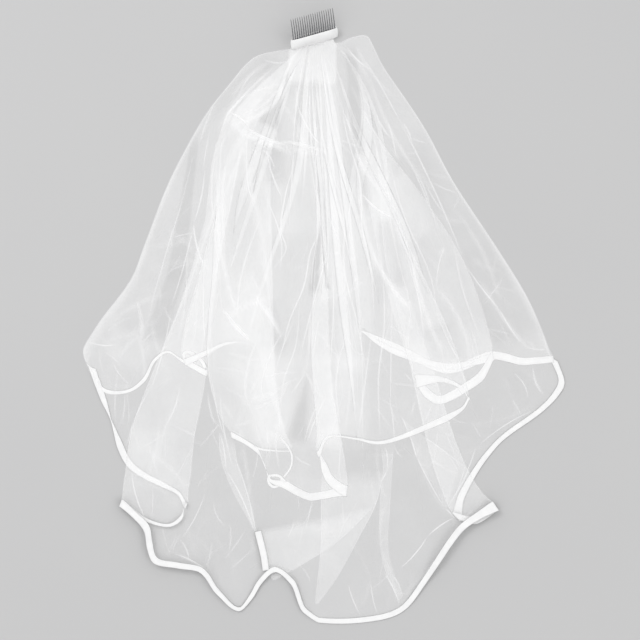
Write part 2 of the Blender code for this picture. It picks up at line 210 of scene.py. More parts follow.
UPPER_HEM = (
    Fold(-323, -72, 0.0, 0, 0, 0),
    Fold(-306, -103, 2.0, 0, 0, 0),
    Fold(-272, -104, 6.0, 0, 0, 0),
    Fold(-250, -88, 9.0, 0, 0, 0),
    Fold(-236, -62, 11.0, 0, 0, 0),
    Fold(-218, -50, 12.0, 0, -5, 0),
    Fold(-198, -62, 11.0, 0, -20, 0),
    Fold(-165, -79, 10.0, 4.5, -30, 0),
    Fold(-193, -64, 14.5, 4.5, -35, 0),
    Fold(-166, -52, 19.0, 0, -35, 0),
    Fold(-104, -40, 19.0, 0, -30, 0),
    Fold(-66, -150, 19.0, 0, -25, 0),
    Fold(-49, -186, 19.0, 4.5, -30, 0),
    Fold(-90, -183, 23.5, 0, -55, 0),
    Fold(-128, -164, 23.5, 4.5, -80, 0),
    Fold(-93, -186, 28.0, 0, -55, 1),
    Fold(-76, -226, 28.0, 0, -40, 0),
    Fold(-56, -232, 28.0, 0, -25, 0),
    Fold(-40, -241, 26.0, 0, -15, 0),
    Fold(-22, -249, 17.0, 0, -5, 1),
    Fold(27, -241, 14.0, 4.5, 0, 0),
    Fold(6, -226, 18.5, 0, 0, 0),
    Fold(-10, -190, 18.5, 4.5, 0, 0),
    Fold(2, -167, 23.0, 0, 0, 0),
    Fold(40, -169, 22.0, 0, 0, 2),
    Fold(83, -173, 23.0, 0, 5, 2),
    Fold(164, -141, 27.5, 0, 10, 0),
    Fold(188, -126, 27.5, 0, 10, 0),
    Fold(195, -114, 27.5, -4.5, 10, 0),
    Fold(188, -101, 23.0, 0, 8, 0),
    Fold(160, -88, 23.0, 0, 5, 0),
    Fold(125, -90, 23.0, -4.5, 0, 0),
    Fold(155, -116, 18.5, 0, 5, 0),
    Fold(212, -84, 18.5, 0, 20, 0),
    Fold(228, -57, 18.5, -4.5, 30, 0),
    Fold(167, -70, 14.0, 0, 20, 0),
    Fold(91, -48, 14.0, 0, 5, 0),
    Fold(50, -22, 14.0, -4.5, 0, 0),
    Fold(95, -42, 9.5, 0, 5, 0),
    Fold(165, -74, 9.5, 0, 15, 0),
    Fold(228, -55, 6.0, 0, 20, 0),
    Fold(268, -63, 3.0, 0, 10, 0),
    Fold(314, -60, 0.0, 0, 0, 0),
)

# How far the ribbon is turned under at each row of its hem: the angle whose cosine still shows
LOWER_ROLLS = (
    45, 45, 40, 40, 55, 66, 68, 68, 68, 68, 50, 35, 42, 52, 56, 64, 56, 52, 56,
    58, 54, 52, 50, 50, 45, 40, 20, 20, 30, 35, 48, 56, 52, 40, 40,
)
UPPER_ROLLS = (
    30, 66, 70, 66, 72, 76, 74, 60, 55, 60, 87, 88, 87, 76, 60, 66, 74,
    30, 30, 25, 20, 0, 66, 76, 78, 66, 40, 72, 78, 76, 55, 5, 5, 10, 50, 45,
    48, 82, 50, 20, 15, 30, 40,
)

# Where a fold's line leaves its even run: its column of the hem, how many columns it takes
# along, and how far it lies to the right at each tenth of the way down
Nudge = namedtuple("Nudge", "column columns moves")

LOWER_NUDGES = (Nudge(13, 6.5, (0, -22, -50, -52, -36, -25, -16, -8, -10, -2, 0)),)
UPPER_NUDGES = (Nudge(28.5, 5.0, (0, -20, -48, -64, -64, -56, -38, -24, -14, -4, 0)),)

# The way a ray leaves the comb, in degrees from straight down, across the gathers from 0 to 1
Leave = namedtuple("Leave", "share angle")

LEAVES = (
    Leave(0.0, -95.0),
    Leave(0.1, -50.0),
    Leave(0.3, -20.0),
    Leave(0.5, 0.0),
    Leave(0.7, 20.0),
    Leave(0.9, 50.0),
    Leave(1.0, 90.0),
)

# The doubled side edges, which both tiers share, from the comb to the side corners
Edge = namedtuple("Edge", "across along")

LEFT_EDGE = (
    Edge(-88, 360),
    Edge(-109, 347),
    Edge(-130, 322),
    Edge(-168, 273),
    Edge(-215, 187),
    Edge(-249, 100),
    Edge(-270, 48),
    Edge(-312, -8),
    Edge(-331, -42),
    Edge(-330, -60),
    Edge(-323, -72),
)

RIGHT_EDGE = (
    Edge(14, 374),
    Edge(34, 383),
    Edge(56, 386),
    Edge(66, 370),
    Edge(80, 342),
    Edge(109, 300),
    Edge(140, 252),
    Edge(176, 184),
    Edge(229, 104),
    Edge(274, 32),
    Edge(298, -20),
    Edge(308, -48),
    Edge(314, -60),
)

# A crease pressed into the cloth: its two ends, how far it bows to the left of that way, its
# height, its width, and how much denser the net is along it
Crease = namedtuple("Crease", "x0 y0 x1 y1 bow rise width glow")

CREASES = (
    Crease(-130, 262, 6, 225, -12, 1.6, 4.5, 1.4),
    Crease(-52, 325, -130, 262, 14, 1.4, 5.0, 0.9),
    Crease(-60, 290, -28, 200, 10, 0.8, 5.0, 0.5),
    Crease(47, 165, 116, 8, -16, 1.2, 4.5, 1.0),
    Crease(30, 290, 100, 150, -20, 0.9, 4.5, 0.6),
    Crease(213, 48, 281, -48, -4, 0.8, 3.5, 0.9),
    Crease(178, 145, 240, 20, 8, 0.7, 3.5, 0.5),
    Crease(60, 330, 150, 170, -12, 0.9, 4.0, 0.6),
    Crease(-96, 25, -62, -28, 2, 1.8, 5.0, 1.6),
    Crease(-118, 8, -80, 20, 4, 1.0, 5.0, 0.8),
    Crease(-150, 165, -118, -10, -8, 1.0, 4.0, 0.9),
    Crease(-220, 120, -160, 60, 5, 0.7, 4.0, 0.4),
    Crease(-250, 60, -150, 74, 6, 0.7, 3.5, 0.4),
    Crease(-255, 95, -180, 110, -5, 0.6, 3.5, 0.35),
    Crease(-300, -15, -215, 30, 8, 0.9, 4.0, 0.5),
    Crease(-310, -35, -230, -5, -6, 0.8, 4.0, 0.45),
    Crease(-285, -60, -235, -20, 8, 0.9, 4.0, 0.5),
    Crease(-262, -20, -250, -88, 4, 0.7, 3.5, 0.45),
    Crease(-240, -5, -216, -80, -5, 0.7, 3.5, 0.4),
    Crease(-275, -90, -285, -150, 4, 0.7, 3.5, 0.4),
    Crease(-230, -140, -250, -230, 6, 0.8, 4.0, 0.4),
    Crease(-205, -120, -232, -200, -4, 0.6, 3.5, 0.35),
    Crease(-250, -185, -190, -240, 5, 0.8, 4.0, 0.4),
    Crease(-265, -215, -205, -262, 4, 0.7, 3.5, 0.35),
    Crease(-120, -150, -100, -330, 4, 0.9, 3.5, 0.9),
    Crease(-60, -140, -96, -210, -3, 0.7, 3.5, 0.4),
    Crease(-160, -300, -120, -360, 4, 0.8, 4.0, 0.35),
    Crease(-195, -270, -175, -335, -4, 0.7, 4.0, 0.3),
    Crease(-185, -300, -160, -330, 3, 0.6, 3.5, 0.3),
    Crease(-20, -260, -60, -330, -4, 0.7, 3.5, 0.35),
    Crease(0, -250, -10, -340, 3, 0.7, 3.5, 0.3),
    Crease(-50, -290, 20, -310, 6, 0.9, 5.0, 0.5),
    Crease(-85, -305, 30, -300, 5, 1.0, 6.0, 0.5),
    Crease(30, -310, 60, -360, 4, 0.7, 3.5, 0.35),
    Crease(72, -175, 84, -255, -6, 0.9, 3.5, 0.9),
    Crease(84, -255, 74, -320, -4, 0.8, 3.5, 0.8),
    Crease(74, -320, 98, -395, 3, 0.8, 3.5, 0.6),
    Crease(105, -385, 178, -300, -5, 0.9, 4.0, 0.6),
    Crease(62, -360, 45, -405, 3, 0.7, 4.0, 0.3),
    Crease(88, -370, 80, -412, 3, 0.7, 4.0, 0.3),
    Crease(120, -350, 108, -398, 2, 0.7, 4.0, 0.3),
    Crease(140, -170, 128, -245, 4, 0.6, 3.5, 0.35),
    Crease(115, -165, 131, -205, 3, 0.6, 3.5, 0.4),
    Crease(131, -205, 175, -278, -6, 0.8, 3.5, 0.7),
    Crease(240, -80, 262, -150, 8, 0.7, 3.5, 0.35),
    Crease(262, -70, 300, -110, 6, 0.7, 3.5, 0.35),
    Crease(195, -150, 290, -120, -8, 0.7, 4.0, 0.35),
    Crease(180, -200, 235, -178, 5, 0.6, 3.5, 0.3),
    Crease(215, -255, 170, -290, 4, 0.6, 3.5, 0.35),
    Crease(150, 40, 198, -60, 10, 0.7, 3.5, 0.5),
    Crease(120, 90, 160, -50, -8, 0.7, 3.5, 0.5),
    Crease(245, 60, 200, 80, 4, 0.5, 3.5, 0.3),
    Crease(200, 130, 150, 140, 4, 0.5, 3.5, 0.3),
    Crease(170, 190, 128, 205, 3, 0.5, 3.5, 0.3),
    Crease(40, 375, 95, 300, -5, 0.7, 4.0, 0.5),
    Crease(20, 370, 60, 320, 6, 0.6, 4.0, 0.4),
    Crease(-70, 352, -130, 300, -6, 0.7, 4.5, 0.4),
    Crease(-95, 330, -150, 250, -5, 0.7, 4.5, 0.4),
)

CREASE_GLOW = 1.5
CREASE_LINE = 0.55

# Where the gathers bunch the net: the middle line of a bunch, its half widths at the two ends,
# how soft its sides are, and how many layers it adds to each layer of the cloth
Bunch = namedtuple("Bunch", "x0 y0 x1 y1 half0 half1 soft layers")

BUNCHES = (
    Bunch(-17, 392, -19, 322, 31, 33, 2, 2.0),
    Bunch(-19, 305, -22, 120, 34, 62, 14, 0.7),
    Bunch(-22, 120, -45, -60, 62, 95, 22, 0.45),
    Bunch(-45, -60, -40, -175, 90, 48, 16, 0.8),
    Bunch(-122, 235, -120, 60, 14, 34, 10, -0.15),
    Bunch(-118, 60, -112, -90, 42, 48, 8, 0.25),
    Bunch(-74, -50, -74, -170, 26, 22, 10, 0.55),
    Bunch(110, 220, 165, -30, 24, 62, 12, -0.35),
    Bunch(2, 330, 34, -60, 10, 16, 7, 0.9),
    Bunch(34, -60, 28, -180, 20, 26, 12, 0.8),
    Bunch(-60, 340, -130, 268, 10, 14, 6, 0.4),
    Bunch(-95, 300, -130, 262, 8, 12, 5, 0.3),
    Bunch(-7, 128, -17, 34, 1, 7, 2, -1.7),
    Bunch(-26, -88, -40, -172, 1, 16, 7, -1.35),
    Bunch(12, 205, 5, 25, 7, 13, 4, 0.6),
    Bunch(-68, 232, -68, 182, 10, 14, 6, -0.6),
    Bunch(-64, 302, -80, 262, 5, 15, 4, -0.9),
    Bunch(-68, 354, -76, 326, 12, 16, 6, -0.25),
    Bunch(152, -15, 166, -62, 20, 24, 12, -0.3),
    Bunch(-235, -160, -240, -235, 28, 28, 8, 0.25),
    Bunch(95, 190, 125, 110, 18, 24, 8, 0.35),
    Bunch(-181, 240, -206, 60, 5, 12, 2, -0.6),
    Bunch(-206, 60, -235, -30, 12, 15, 3, -0.6),
    Bunch(-80, 352, -150, 290, 9, 9, 3, -0.3),
    Bunch(128, 244, 208, 90, 9, 20, 3, -0.3),
    Bunch(208, 90, 262, -30, 20, 34, 4, -0.4),
    Bunch(34, 365, 44, 230, 8, 8, 3, -0.6),
    Bunch(44, 230, 58, 150, 8, 5, 4, -0.5),
    Bunch(72, 60, 76, -30, 9, 12, 6, -0.35),
    Bunch(80, 130, 96, 40, 10, 14, 5, -0.5),
    Bunch(-90, 60, -60, -60, 8, 10, 6, -0.5),
    Bunch(-300, -30, -250, -60, 20, 20, 6, 0.4),
    Bunch(-60, -230, 40, -250, 14, 14, 5, 0.3),
)

# A narrow fold pinched into the cloth, from one place on the photograph to another: how far
# it bows to the left of that way and its width, in millimetres, and how many layers it shows
PHOTO_MM = 1.38
PHOTO_MIDDLE = (326.0, 315.5)
Pinch = namedtuple("Pinch", "px0 py0 px1 py1 bow width layers")

PINCHES = (
    Pinch(229, 113, 250, 129, 3, 3.0, 1.6),
    Pinch(246, 128, 288, 146, -4, 5.0, 2.0),
    Pinch(280, 143, 322, 152, 3, 5.5, 1.4),
    Pinch(262, 149, 275, 172, 4, 2.0, 1.3),
    Pinch(272, 170, 284, 200, -3, 1.8, 1.2),
    Pinch(205, 170, 194, 224, 3, 2.2, 1.3),
    Pinch(194, 224, 205, 268, -3, 3.2, 1.6),
    Pinch(205, 268, 206, 350, -2, 2.2, 1.3),
    Pinch(194, 226, 171, 308, 2, 1.8, 1.2),
    Pinch(171, 308, 150, 392, 4, 1.8, 1.3),
    Pinch(150, 390, 127, 446, -4, 2.0, 1.3),
    Pinch(173, 238, 196, 233, 1, 1.6, 0.8),
    Pinch(168, 272, 190, 264, 1, 1.6, 0.7),
    Pinch(137, 300, 142, 345, 3, 6.0, 0.6),
    Pinch(88, 341, 118, 344, -4, 2.2, 1.2),
    Pinch(106, 333, 134, 316, 3, 2.0, 0.6),
    Pinch(104, 352, 122, 368, 3, 2.0, 0.6),
    Pinch(112, 360, 131, 385, -3, 1.8, 0.7),
    Pinch(143, 345, 159, 331, 4, 1.8, 0.8),
    Pinch(119, 368, 116, 424, -3, 1.6, 1.0),
    Pinch(124, 392, 122, 424, 2, 1.2, 0.8),
    Pinch(127, 392, 128, 430, 2, 1.0, 0.7),
    Pinch(180, 384, 163, 430, 5, 2.0, 0.9),
    Pinch(170, 340, 178, 332, 4, 1.6, 0.6),
    Pinch(148, 445, 158, 476, 2, 3.0, 0.6),
    Pinch(134, 474, 174, 489, 4, 4.0, 1.6),
    Pinch(132, 470, 147, 520, -4, 2.0, 1.2),
    Pinch(153, 482, 152, 520, 1, 1.4, 0.8),
    Pinch(205, 494, 182, 538, 3, 1.6, 1.1),
    Pinch(180, 538, 190, 562, 3, 1.6, 1.1),
    Pinch(175, 553, 205, 568, 2, 2.4, 1.0),
    Pinch(214, 500, 228, 528, -6, 1.8, 0.7),
    Pinch(246, 529, 224, 560, 1, 1.6, 0.7),
    Pinch(253, 548, 229, 570, 1, 1.4, 0.7),
    Pinch(212, 540, 206, 568, 2, 3.0, 0.4),
    Pinch(178, 532, 166, 556, 1, 1.4, 0.6),
    Pinch(206, 432, 218, 424, -4, 1.4, 0.5),
    Pinch(213, 380, 226, 440, -3, 2.0, 1.1),
    Pinch(220, 388, 234, 470, -4, 1.8, 1.2),
    Pinch(220, 432, 226, 470, 2, 2.2, 1.3),
    Pinch(226, 470, 254, 531, 4, 2.2, 1.4),
    Pinch(234, 455, 256, 531, 3, 2.2, 1.4),
    Pinch(258, 448, 252, 480, 2, 1.4, 0.8),
    Pinch(224, 309, 251, 341, -2, 6.0, 2.0),
    Pinch(256, 400, 276, 392, -3, 3.0, 0.6),
    Pinch(250, 408, 262, 386, 2, 2.0, 0.6),
    Pinch(310, 305, 306, 372, 3, 1.6, 1.1),
    Pinch(306, 372, 318, 412, 2, 1.8, 1.2),
    Pinch(300, 310, 272, 386, -4, 1.8, 0.9),
    Pinch(306, 370, 288, 396, 2, 2.0, 1.0),
    Pinch(326, 396, 306, 446, -2, 2.4, 1.0),
    Pinch(308, 372, 324, 398, -4, 1.6, 1.1),
    Pinch(321, 152, 326, 200, 3, 4.0, 1.0),
    Pinch(326, 200, 344, 250, -4, 4.0, 1.1),
    Pinch(344, 250, 352, 330, -4, 5.0, 1.0),
    Pinch(352, 330, 344, 440, 3, 3.0, 0.7),
    Pinch(320, 225, 311, 300, -3, 1.6, 1.2),
    Pinch(330, 240, 334, 360, 2, 1.4, 0.9),
    Pinch(340, 438, 338, 476, 1, 1.6, 0.8),
    Pinch(361, 193, 394, 219, -5, 3.6, 1.7),
    Pinch(394, 218, 411, 262, -2, 3.2, 1.4),
    Pinch(411, 262, 424, 305, -2, 2.8, 1.0),
    Pinch(402, 122, 412, 144, 2, 2.4, 1.0),
    Pinch(386, 118, 396, 160, 2, 2.6, 0.9),
    Pinch(376, 113, 392, 140, -3, 3.0, 1.0),
    Pinch(346, 46, 370, 70, -3, 2.2, 1.2),
    Pinch(338, 38, 362, 36, -2, 1.8, 1.1),
    Pinch(360, 92, 374, 112, -2, 1.6, 0.8),
    Pinch(366, 62, 400, 122, 1, 1.8, 1.2),
    Pinch(400, 122, 462, 256, 3, 2.2, 1.3),
    Pinch(412, 139, 428, 144, 0, 1.2, 0.9),
    Pinch(430, 181, 458, 193, -2, 1.4, 0.9),
    Pinch(450, 212, 460, 194, -2, 1.0, 0.6),
    Pinch(426, 184, 444, 214, -2, 1.8, 1.0),
    Pinch(414, 170, 430, 208, 3, 2.2, 0.9),
    Pinch(444, 246, 436, 290, -3, 2.0, 0.9),
    Pinch(480, 306, 504, 276, -2, 1.6, 0.8),
    Pinch(466, 266, 500, 310, -2, 1.8, 1.7),
    Pinch(500, 310, 521, 343, -2, 2.0, 1.5),
    Pinch(486, 329, 512, 335, 1, 1.2, 0.8),
    Pinch(526, 347, 548, 349, -2, 2.0, 1.0),
    Pinch(528, 340, 534, 352, 2, 3.0, 0.5),
    Pinch(512, 372, 528, 400, 6, 1.8, 0.9),
    Pinch(526, 398, 543, 406, -2, 2.0, 1.2),
    Pinch(533, 366, 543, 394, -4, 3.4, 0.8),
    Pinch(534, 410, 478, 446, -4, 1.6, 1.2),
    Pinch(536, 416, 476, 452, -5, 1.8, 1.2),
    Pinch(530, 412, 518, 424, 2, 1.4, 1.0),
    Pinch(476, 446, 448, 505, 4, 2.2, 1.2),
    Pinch(466, 456, 452, 500, 3, 1.4, 0.9),
    Pinch(471, 422, 482, 440, 1, 1.4, 0.6),
    Pinch(400, 414, 409, 436, 1, 1.6, 1.1),
    Pinch(409, 434, 416, 457, 1, 2.0, 1.4),
    Pinch(416, 456, 444, 507, -1, 2.0, 1.4),
    Pinch(444, 507, 455, 519, 1, 1.8, 1.2),
    Pinch(420, 434, 462, 465, 1, 1.6, 1.1),
    Pinch(431, 402, 424, 420, 1, 2.4, 0.6),
    Pinch(438, 404, 434, 416, 1, 1.8, 0.5),
    Pinch(454, 517, 427, 536, -2, 2.0, 1.5),
    Pinch(427, 536, 400, 568, 3, 2.0, 1.5),
    Pinch(438, 559, 426, 568, 1, 1.2, 1.0),
    Pinch(348, 583, 361, 616, -2, 1.6, 1.1),
    Pinch(371, 583, 378, 615, -2, 1.6, 1.1),
    Pinch(392, 574, 402, 594, 2, 2.4, 0.9),
    Pinch(384, 572, 400, 606, 2, 2.0, 1.0),
    Pinch(391, 310, 390, 404, 0, 1.6, 1.2),
    Pinch(390, 404, 394, 446, 2, 1.6, 1.2),
    Pinch(394, 444, 404, 458, -3, 1.4, 0.9),
    Pinch(385, 446, 387, 470, 2, 2.0, 1.2),
    Pinch(387, 470, 380, 482, 1, 2.0, 1.2),
    Pinch(402, 372, 412, 382, 1, 2.0, 0.8),
    Pinch(295, 519, 286, 541, 1, 1.4, 1.0),
    Pinch(312, 500, 304, 534, 1, 1.4, 1.0),
    Pinch(297, 492, 299, 512, 1, 1.2, 0.6),
    Pinch(294, 453, 313, 465, -3, 1.8, 1.0),
    Pinch(248, 399, 275, 391, -2, 5.0, 0.48),
    Pinch(250, 408, 281, 397, -2, 5.0, 0.54),
    Pinch(239, 394, 248, 408, 2, 4.0, 0.42),
    Pinch(220, 402, 234, 419, 2, 4.0, 0.42),
    Pinch(234, 424, 253, 419, -2, 4.0, 0.48),
    Pinch(250, 397, 262, 374, 2, 4.0, 0.42),
    Pinch(262, 380, 300, 372, 4, 3.0, 0.48),
    Pinch(267, 397, 300, 377, 2, 4.0, 0.42),
    Pinch(225, 385, 248, 397, -2, 4.0, 0.42),
    Pinch(256, 422, 266, 452, -2, 2.4, 0.54),
    Pinch(268, 408, 265, 470, 2, 2.4, 0.54),
    Pinch(281, 397, 281, 432, -2, 2.4, 0.48),
    Pinch(309, 313, 306, 363, 2, 2.0, 0.9),
    Pinch(320, 313, 314, 363, -2, 2.0, 0.9),
    Pinch(314, 374, 320, 397, 1, 1.8, 0.9),
    Pinch(320, 397, 303, 447, -2, 2.0, 0.9),
    Pinch(228, 352, 262, 360, -2, 5.0, 0.5),
    Pinch(216, 368, 244, 372, 2, 4.0, 0.5),
    Pinch(226, 330, 246, 300, 3, 4.0, 0.5),
    Pinch(208, 392, 216, 426, -2, 3.0, 0.7),
    Pinch(288, 380, 276, 404, 2, 3.0, 0.7),
)

# A longer folded line in the gathers: places on the photograph, its width and its layers
Strand = namedtuple("Strand", "points width layers")

STRANDS = (
    Strand(((226, 160), (223, 206), (226, 262)), 4.0, 1.4),
    Strand(((247, 128), (248, 183), (258, 212)), 2.2, 1.6),
    Strand(((267, 149), (272, 174), (283, 197)), 2.0, 1.6),
    Strand(((287, 146), (293, 165), (286, 194), (281, 229), (286, 251), (270, 274)), 2.2, 1.8),
    Strand(((263, 213), (249, 251), (240, 286), (238, 320)), 2.6, 1.6),
    Strand(((265, 194), (277, 224), (282, 247), (280, 275)), 2.0, 1.6),
    Strand(((296, 87), (299, 110), (313, 137), (322, 146)), 2.4, 1.6),
    Strand(((318, 62), (321, 110), (322, 160), (324, 200)), 3.0, 1.8),
    Strand(((309, 50), (308, 90), (303, 140), (300, 190)), 2.0, 1.2),
    Strand(((325, 224), (311, 251), (304, 286), (290, 320), (282, 352)), 2.0, 2.0),
    Strand(((329, 247), (318, 286), (309, 320), (300, 356)), 2.0, 1.8),
    Strand(((334, 263), (333, 320), (330, 372)), 2.0, 1.4),
    Strand(((340, 96), (347, 137), (358, 174), (361, 200), (362, 229), (371, 274), (374, 320)), 2.4, 2.0),
    Strand(((324, 146), (327, 206), (328, 251), (326, 300)), 2.6, 1.6),
    Strand(((333, 171), (340, 197), (344, 229), (344, 270), (356, 320), (366, 372)), 2.8, 1.6),
    Strand(((379, 160), (388, 194), (401, 229), (411, 263), (422, 320)), 2.4, 1.6),
    Strand(((408, 160), (417, 178), (429, 206), (440, 236)), 1.8, 1.4),
    Strand(((388, 160), (404, 217), (429, 274), (438, 320)), 1.8, 1.3),
    Strand(((356, 178), (350, 206), (352, 240), (360, 300)), 2.2, 1.2),
    Strand(((217, 140), (212, 190), (216, 240), (222, 290)), 2.4, 1.2),
    Strand(((236, 118), (262, 108), (286, 84)), 4.0, 0.9),
    Strand(((304, 50), (300, 84), (296, 112), (292, 180), (288, 230)), 2.4, 1.8),
    Strand(((240, 100), (262, 90), (290, 84)), 3.0, 0.8),
    Strand(((262, 88), (244, 98), (230, 112)), 2.6, 0.8),
    Strand(((262, 60), (276, 64), (290, 62)), 2.0, 1.0),
    Strand(((258, 68), (245, 84), (236, 104)), 1.8, 0.9),
    Strand(((210, 130), (206, 152), (203, 172)), 1.6, 1.0),
    Strand(((214, 104), (206, 124), (200, 142)), 2.2, 0.9),
    Strand(((196, 146), (181, 206), (171, 238), (155, 293), (149, 320)), 1.8, 0.9),
    Strand(((284, 330), (272, 352), (262, 384), (268, 410)), 2.4, 1.5),
    Strand(((300, 300), (296, 345), (284, 380), (280, 420)), 2.0, 1.4),
    Strand(((262, 330), (250, 360), (246, 392), (256, 420)), 3.0, 1.2),
    Strand(((346, 330), (336, 380), (340, 430)), 2.2, 1.4),
    Strand(((372, 330), (364, 390), (358, 438)), 2.2, 1.3),
    Strand(((381, 250), (384, 320), (378, 380), (380, 438)), 2.0, 1.4),
    Strand(((404, 250), (418, 300), (424, 345)), 2.0, 1.3),
    Strand(((452, 240), (462, 290), (480, 340)), 1.8, 1.1),
    Strand(((430, 300), (452, 350), (462, 360)), 1.8, 1.0),
    Strand(((276, 402), (280, 420), (276, 440), (280, 470)), 3.0, 1.2),
    Strand(((264, 420), (270, 445), (268, 466)), 2.0, 0.9),
    Strand(((188, 250), (186, 300), (178, 345)), 2.0, 0.9),
    Strand(((198, 280), (196, 330), (190, 350)), 1.8, 0.8),
)

# How far a tier's lines sway from side to side between the comb and the hem
SWAY = 2.6
SWAY_WAVES = 12

# A doubled part of the cloth: its left and right lines down the photograph, and its layers
Flap = namedtuple("Flap", "left right layers")

FLAPS = (
    Flap(
        ((322, 470), (321, 505), (321, 545), (318, 575), (315, 603)),
        ((384, 470), (376, 504), (357, 541), (338, 576), (318, 604)),
        1.5,
    ),
    Flap(
        ((257, 529), (261, 545), (267, 566), (272, 579)),
        ((374, 506), (346, 534), (318, 555), (275, 580)),
        1.75,
    ),
    Flap(
        ((219, 430), (221, 458), (232, 489), (255, 531)),
        ((234, 440), (238, 466), (244, 487), (257, 530)),
        1.2,
    ),
    Flap(
        ((380, 440), (383, 470), (380, 500), (380, 541), (385, 570), (399, 601)),
        ((394, 440), (392, 470), (390, 506), (388, 545), (393, 571), (403, 596)),
        1.0,
    ),
    Flap(
        ((400, 414), (409, 435), (416, 456), (432, 483), (446, 508)),
        ((420, 434), (430, 440), (441, 449), (450, 457), (458, 470)),
        0.9,
    ),
)

# Loose turns of the satin edge that show inside the hems: places on the photograph, its width
Turn = namedtuple("Turn", "points width tier")

SATIN_TURNS = (
    Turn(((258, 531), (261, 543), (264, 556), (266, 570)), 9.0, "lower"),
    Turn(
        (
            (282, 478), (280, 484), (274, 487), (269, 483), (269, 477), (274, 474), (280, 475),
            (284, 479), (293, 487),
        ),
        3.6,
        "upper",
    ),
    Turn(
        (
            (208, 374), (200, 371), (192, 366), (186, 359), (185, 354), (189, 352), (196, 355),
            (203, 362), (207, 371),
        ),
        4.4,
        "upper",
    ),
    Turn(((284, 476), (291, 466), (292, 454), (287, 444), (279, 435)), 2.4, "upper"),
)

# Short random pinches, such as handling leaves in net
SMALL_PINCHES = 120
SMALL_PINCH_REACH = (120, 760)
SMALL_PINCH_LENGTH = (14, 64)
SMALL_PINCH_WIDTH = (1.6, 3.2)
SMALL_PINCH_LAYERS = (0.12, 0.5)
SMALL_PINCH_SEED = 21

# The fine folds that run down from the gathers
GATHER_RIDGES = 34
RIDGE_HEIGHT = (0.4, 1.5)
RIDGE_WIDTH = (2.2, 4.2)
RIDGE_END = (180, 620)
RIDGE_SEED = 7


def comb_frame():
    """The comb's own frame: x along its spine, y along its teeth, z out of its flat side."""
    slope = -math.atan(math.sin(SPINE_TILT - TEETH_LEAN) / math.tan(TEETH_PITCH))
    spine = Vector(
        (
            math.cos(SPINE_TILT) * math.cos(slope),
            math.sin(SPINE_TILT) * math.cos(slope),
            math.sin(slope),
        )
    )
    teeth = Vector(
        (
            -math.sin(TEETH_LEAN) * math.cos(TEETH_PITCH),
            math.cos(TEETH_LEAN) * math.cos(TEETH_PITCH),
            math.sin(TEETH_PITCH),
        )
    )
    teeth -= spine * teeth.dot(spine)
    teeth.normalize()
    return Matrix((spine, teeth, spine.cross(teeth))).transposed()


COMB_AXES = comb_frame()


def band_lift():
    half = (BAND_LENGTH / 2, BAND_WIDTH / 2, BAND_HEIGHT / 2)
    return ROUND_CORNER_SHARE * sum(abs(COMB_AXES[2][axis]) * half[axis] for axis in range(3))


def in_comb(along_spine, along_teeth, out):
    """A point of the comb's frame, in the veil's plan."""
    local = Vector((along_spine, along_teeth, out))
    return Vector((*BAND_CENTRE, band_lift())) + COMB_AXES @ local


def smooth_run(knots, steps):
    """A smooth curve through the rows of knots, with so many steps between each two."""
    padded = np.vstack([2 * knots[0] - knots[1], knots, 2 * knots[-1] - knots[-2]])
    points = [knots[0]]
    for i, count in enumerate(steps):
        before, start, end, after = padded[i : i + 4]
        for step in range(1, count + 1):
            t = step / count
            points.append(
                0.5
                * (
                    2 * start
                    + (end - before) * t
                    + (2 * before - 5 * start + 4 * end - after) * t * t
                    + (3 * start - before - 3 * end + after) * t * t * t
                )
            )
    return np.array(points)


def stretches(folds):
    """The rows of a hem in runs, each from one turn to the next."""
    turns = [i for i, fold in enumerate(folds) if fold.step] + [len(folds) - 1]
    first = 0
    for last in turns:
        yield list(folds[first : last + 1])
        first = last


def column_count(fold, following):
    span = math.hypot(following.across - fold.across, following.along - fold.along)
    return max(1, round(span / HEM_STEP), COLUMNS_PER_WAVE * fold.waves)


Hem = namedtuple("Hem", "plan rise bow bulge wave turn")


def hem_columns(folds):
    """The hem's points, a smooth curve in each stretch and a half-round bend at each turn."""
    plan, rise, bow, bulge, wave, turn = [], [], [], [], [], []
    for run in stretches(folds):
        knots = np.array([(f.across, f.along, f.rise, f.bow) for f in run], float)
        knots[0, 2] += run[0].step
        steps = [column_count(*pair) for pair in zip(run, run[1:])]
        points = smooth_run(knots, steps)
        points[:, 2] = np.maximum(points[:, 2], 0.0)
        waves = [0.0]
        for fold, count in zip(run, steps):
            for step in range(1, count + 1):
                waves.append((1 - math.cos(2 * math.pi * fold.waves * step / count)) / 2)
        plan += points[:, :2].tolist()
        rise += points[:, 2].tolist()
        bow += points[:, 3].tolist()
        bulge += [0.0] * len(points)
        wave += waves
        turn += [False] * len(points)
        end = run[-1]
        if end.step:
            for angle in BEND_ANGLES:
                around = math.radians(angle)
                plan.append([end.across, end.along])
                rise.append(end.rise + end.step * (1 - math.cos(around)) / 2)
                bow.append(end.bow)
                bulge.append(abs(end.step) / 2 * math.sin(around))
                wave.append(0.0)
                turn.append(True)
    return Hem(*(np.array(column) for column in (plan, rise, bow, bulge, wave, turn)))


def averaged(values, places, width):
    """Values mixed with their neighbours' within about width of their places."""
    weights = np.exp(-(((places[:, None] - places[None, :]) / width) ** 2))
    return (weights @ values) / (weights.sum(1) if values.ndim == 1 else 1.0)


def unit(vectors):
    return vectors / np.maximum(np.linalg.norm(vectors, axis=1)[:, None], 1e-6)


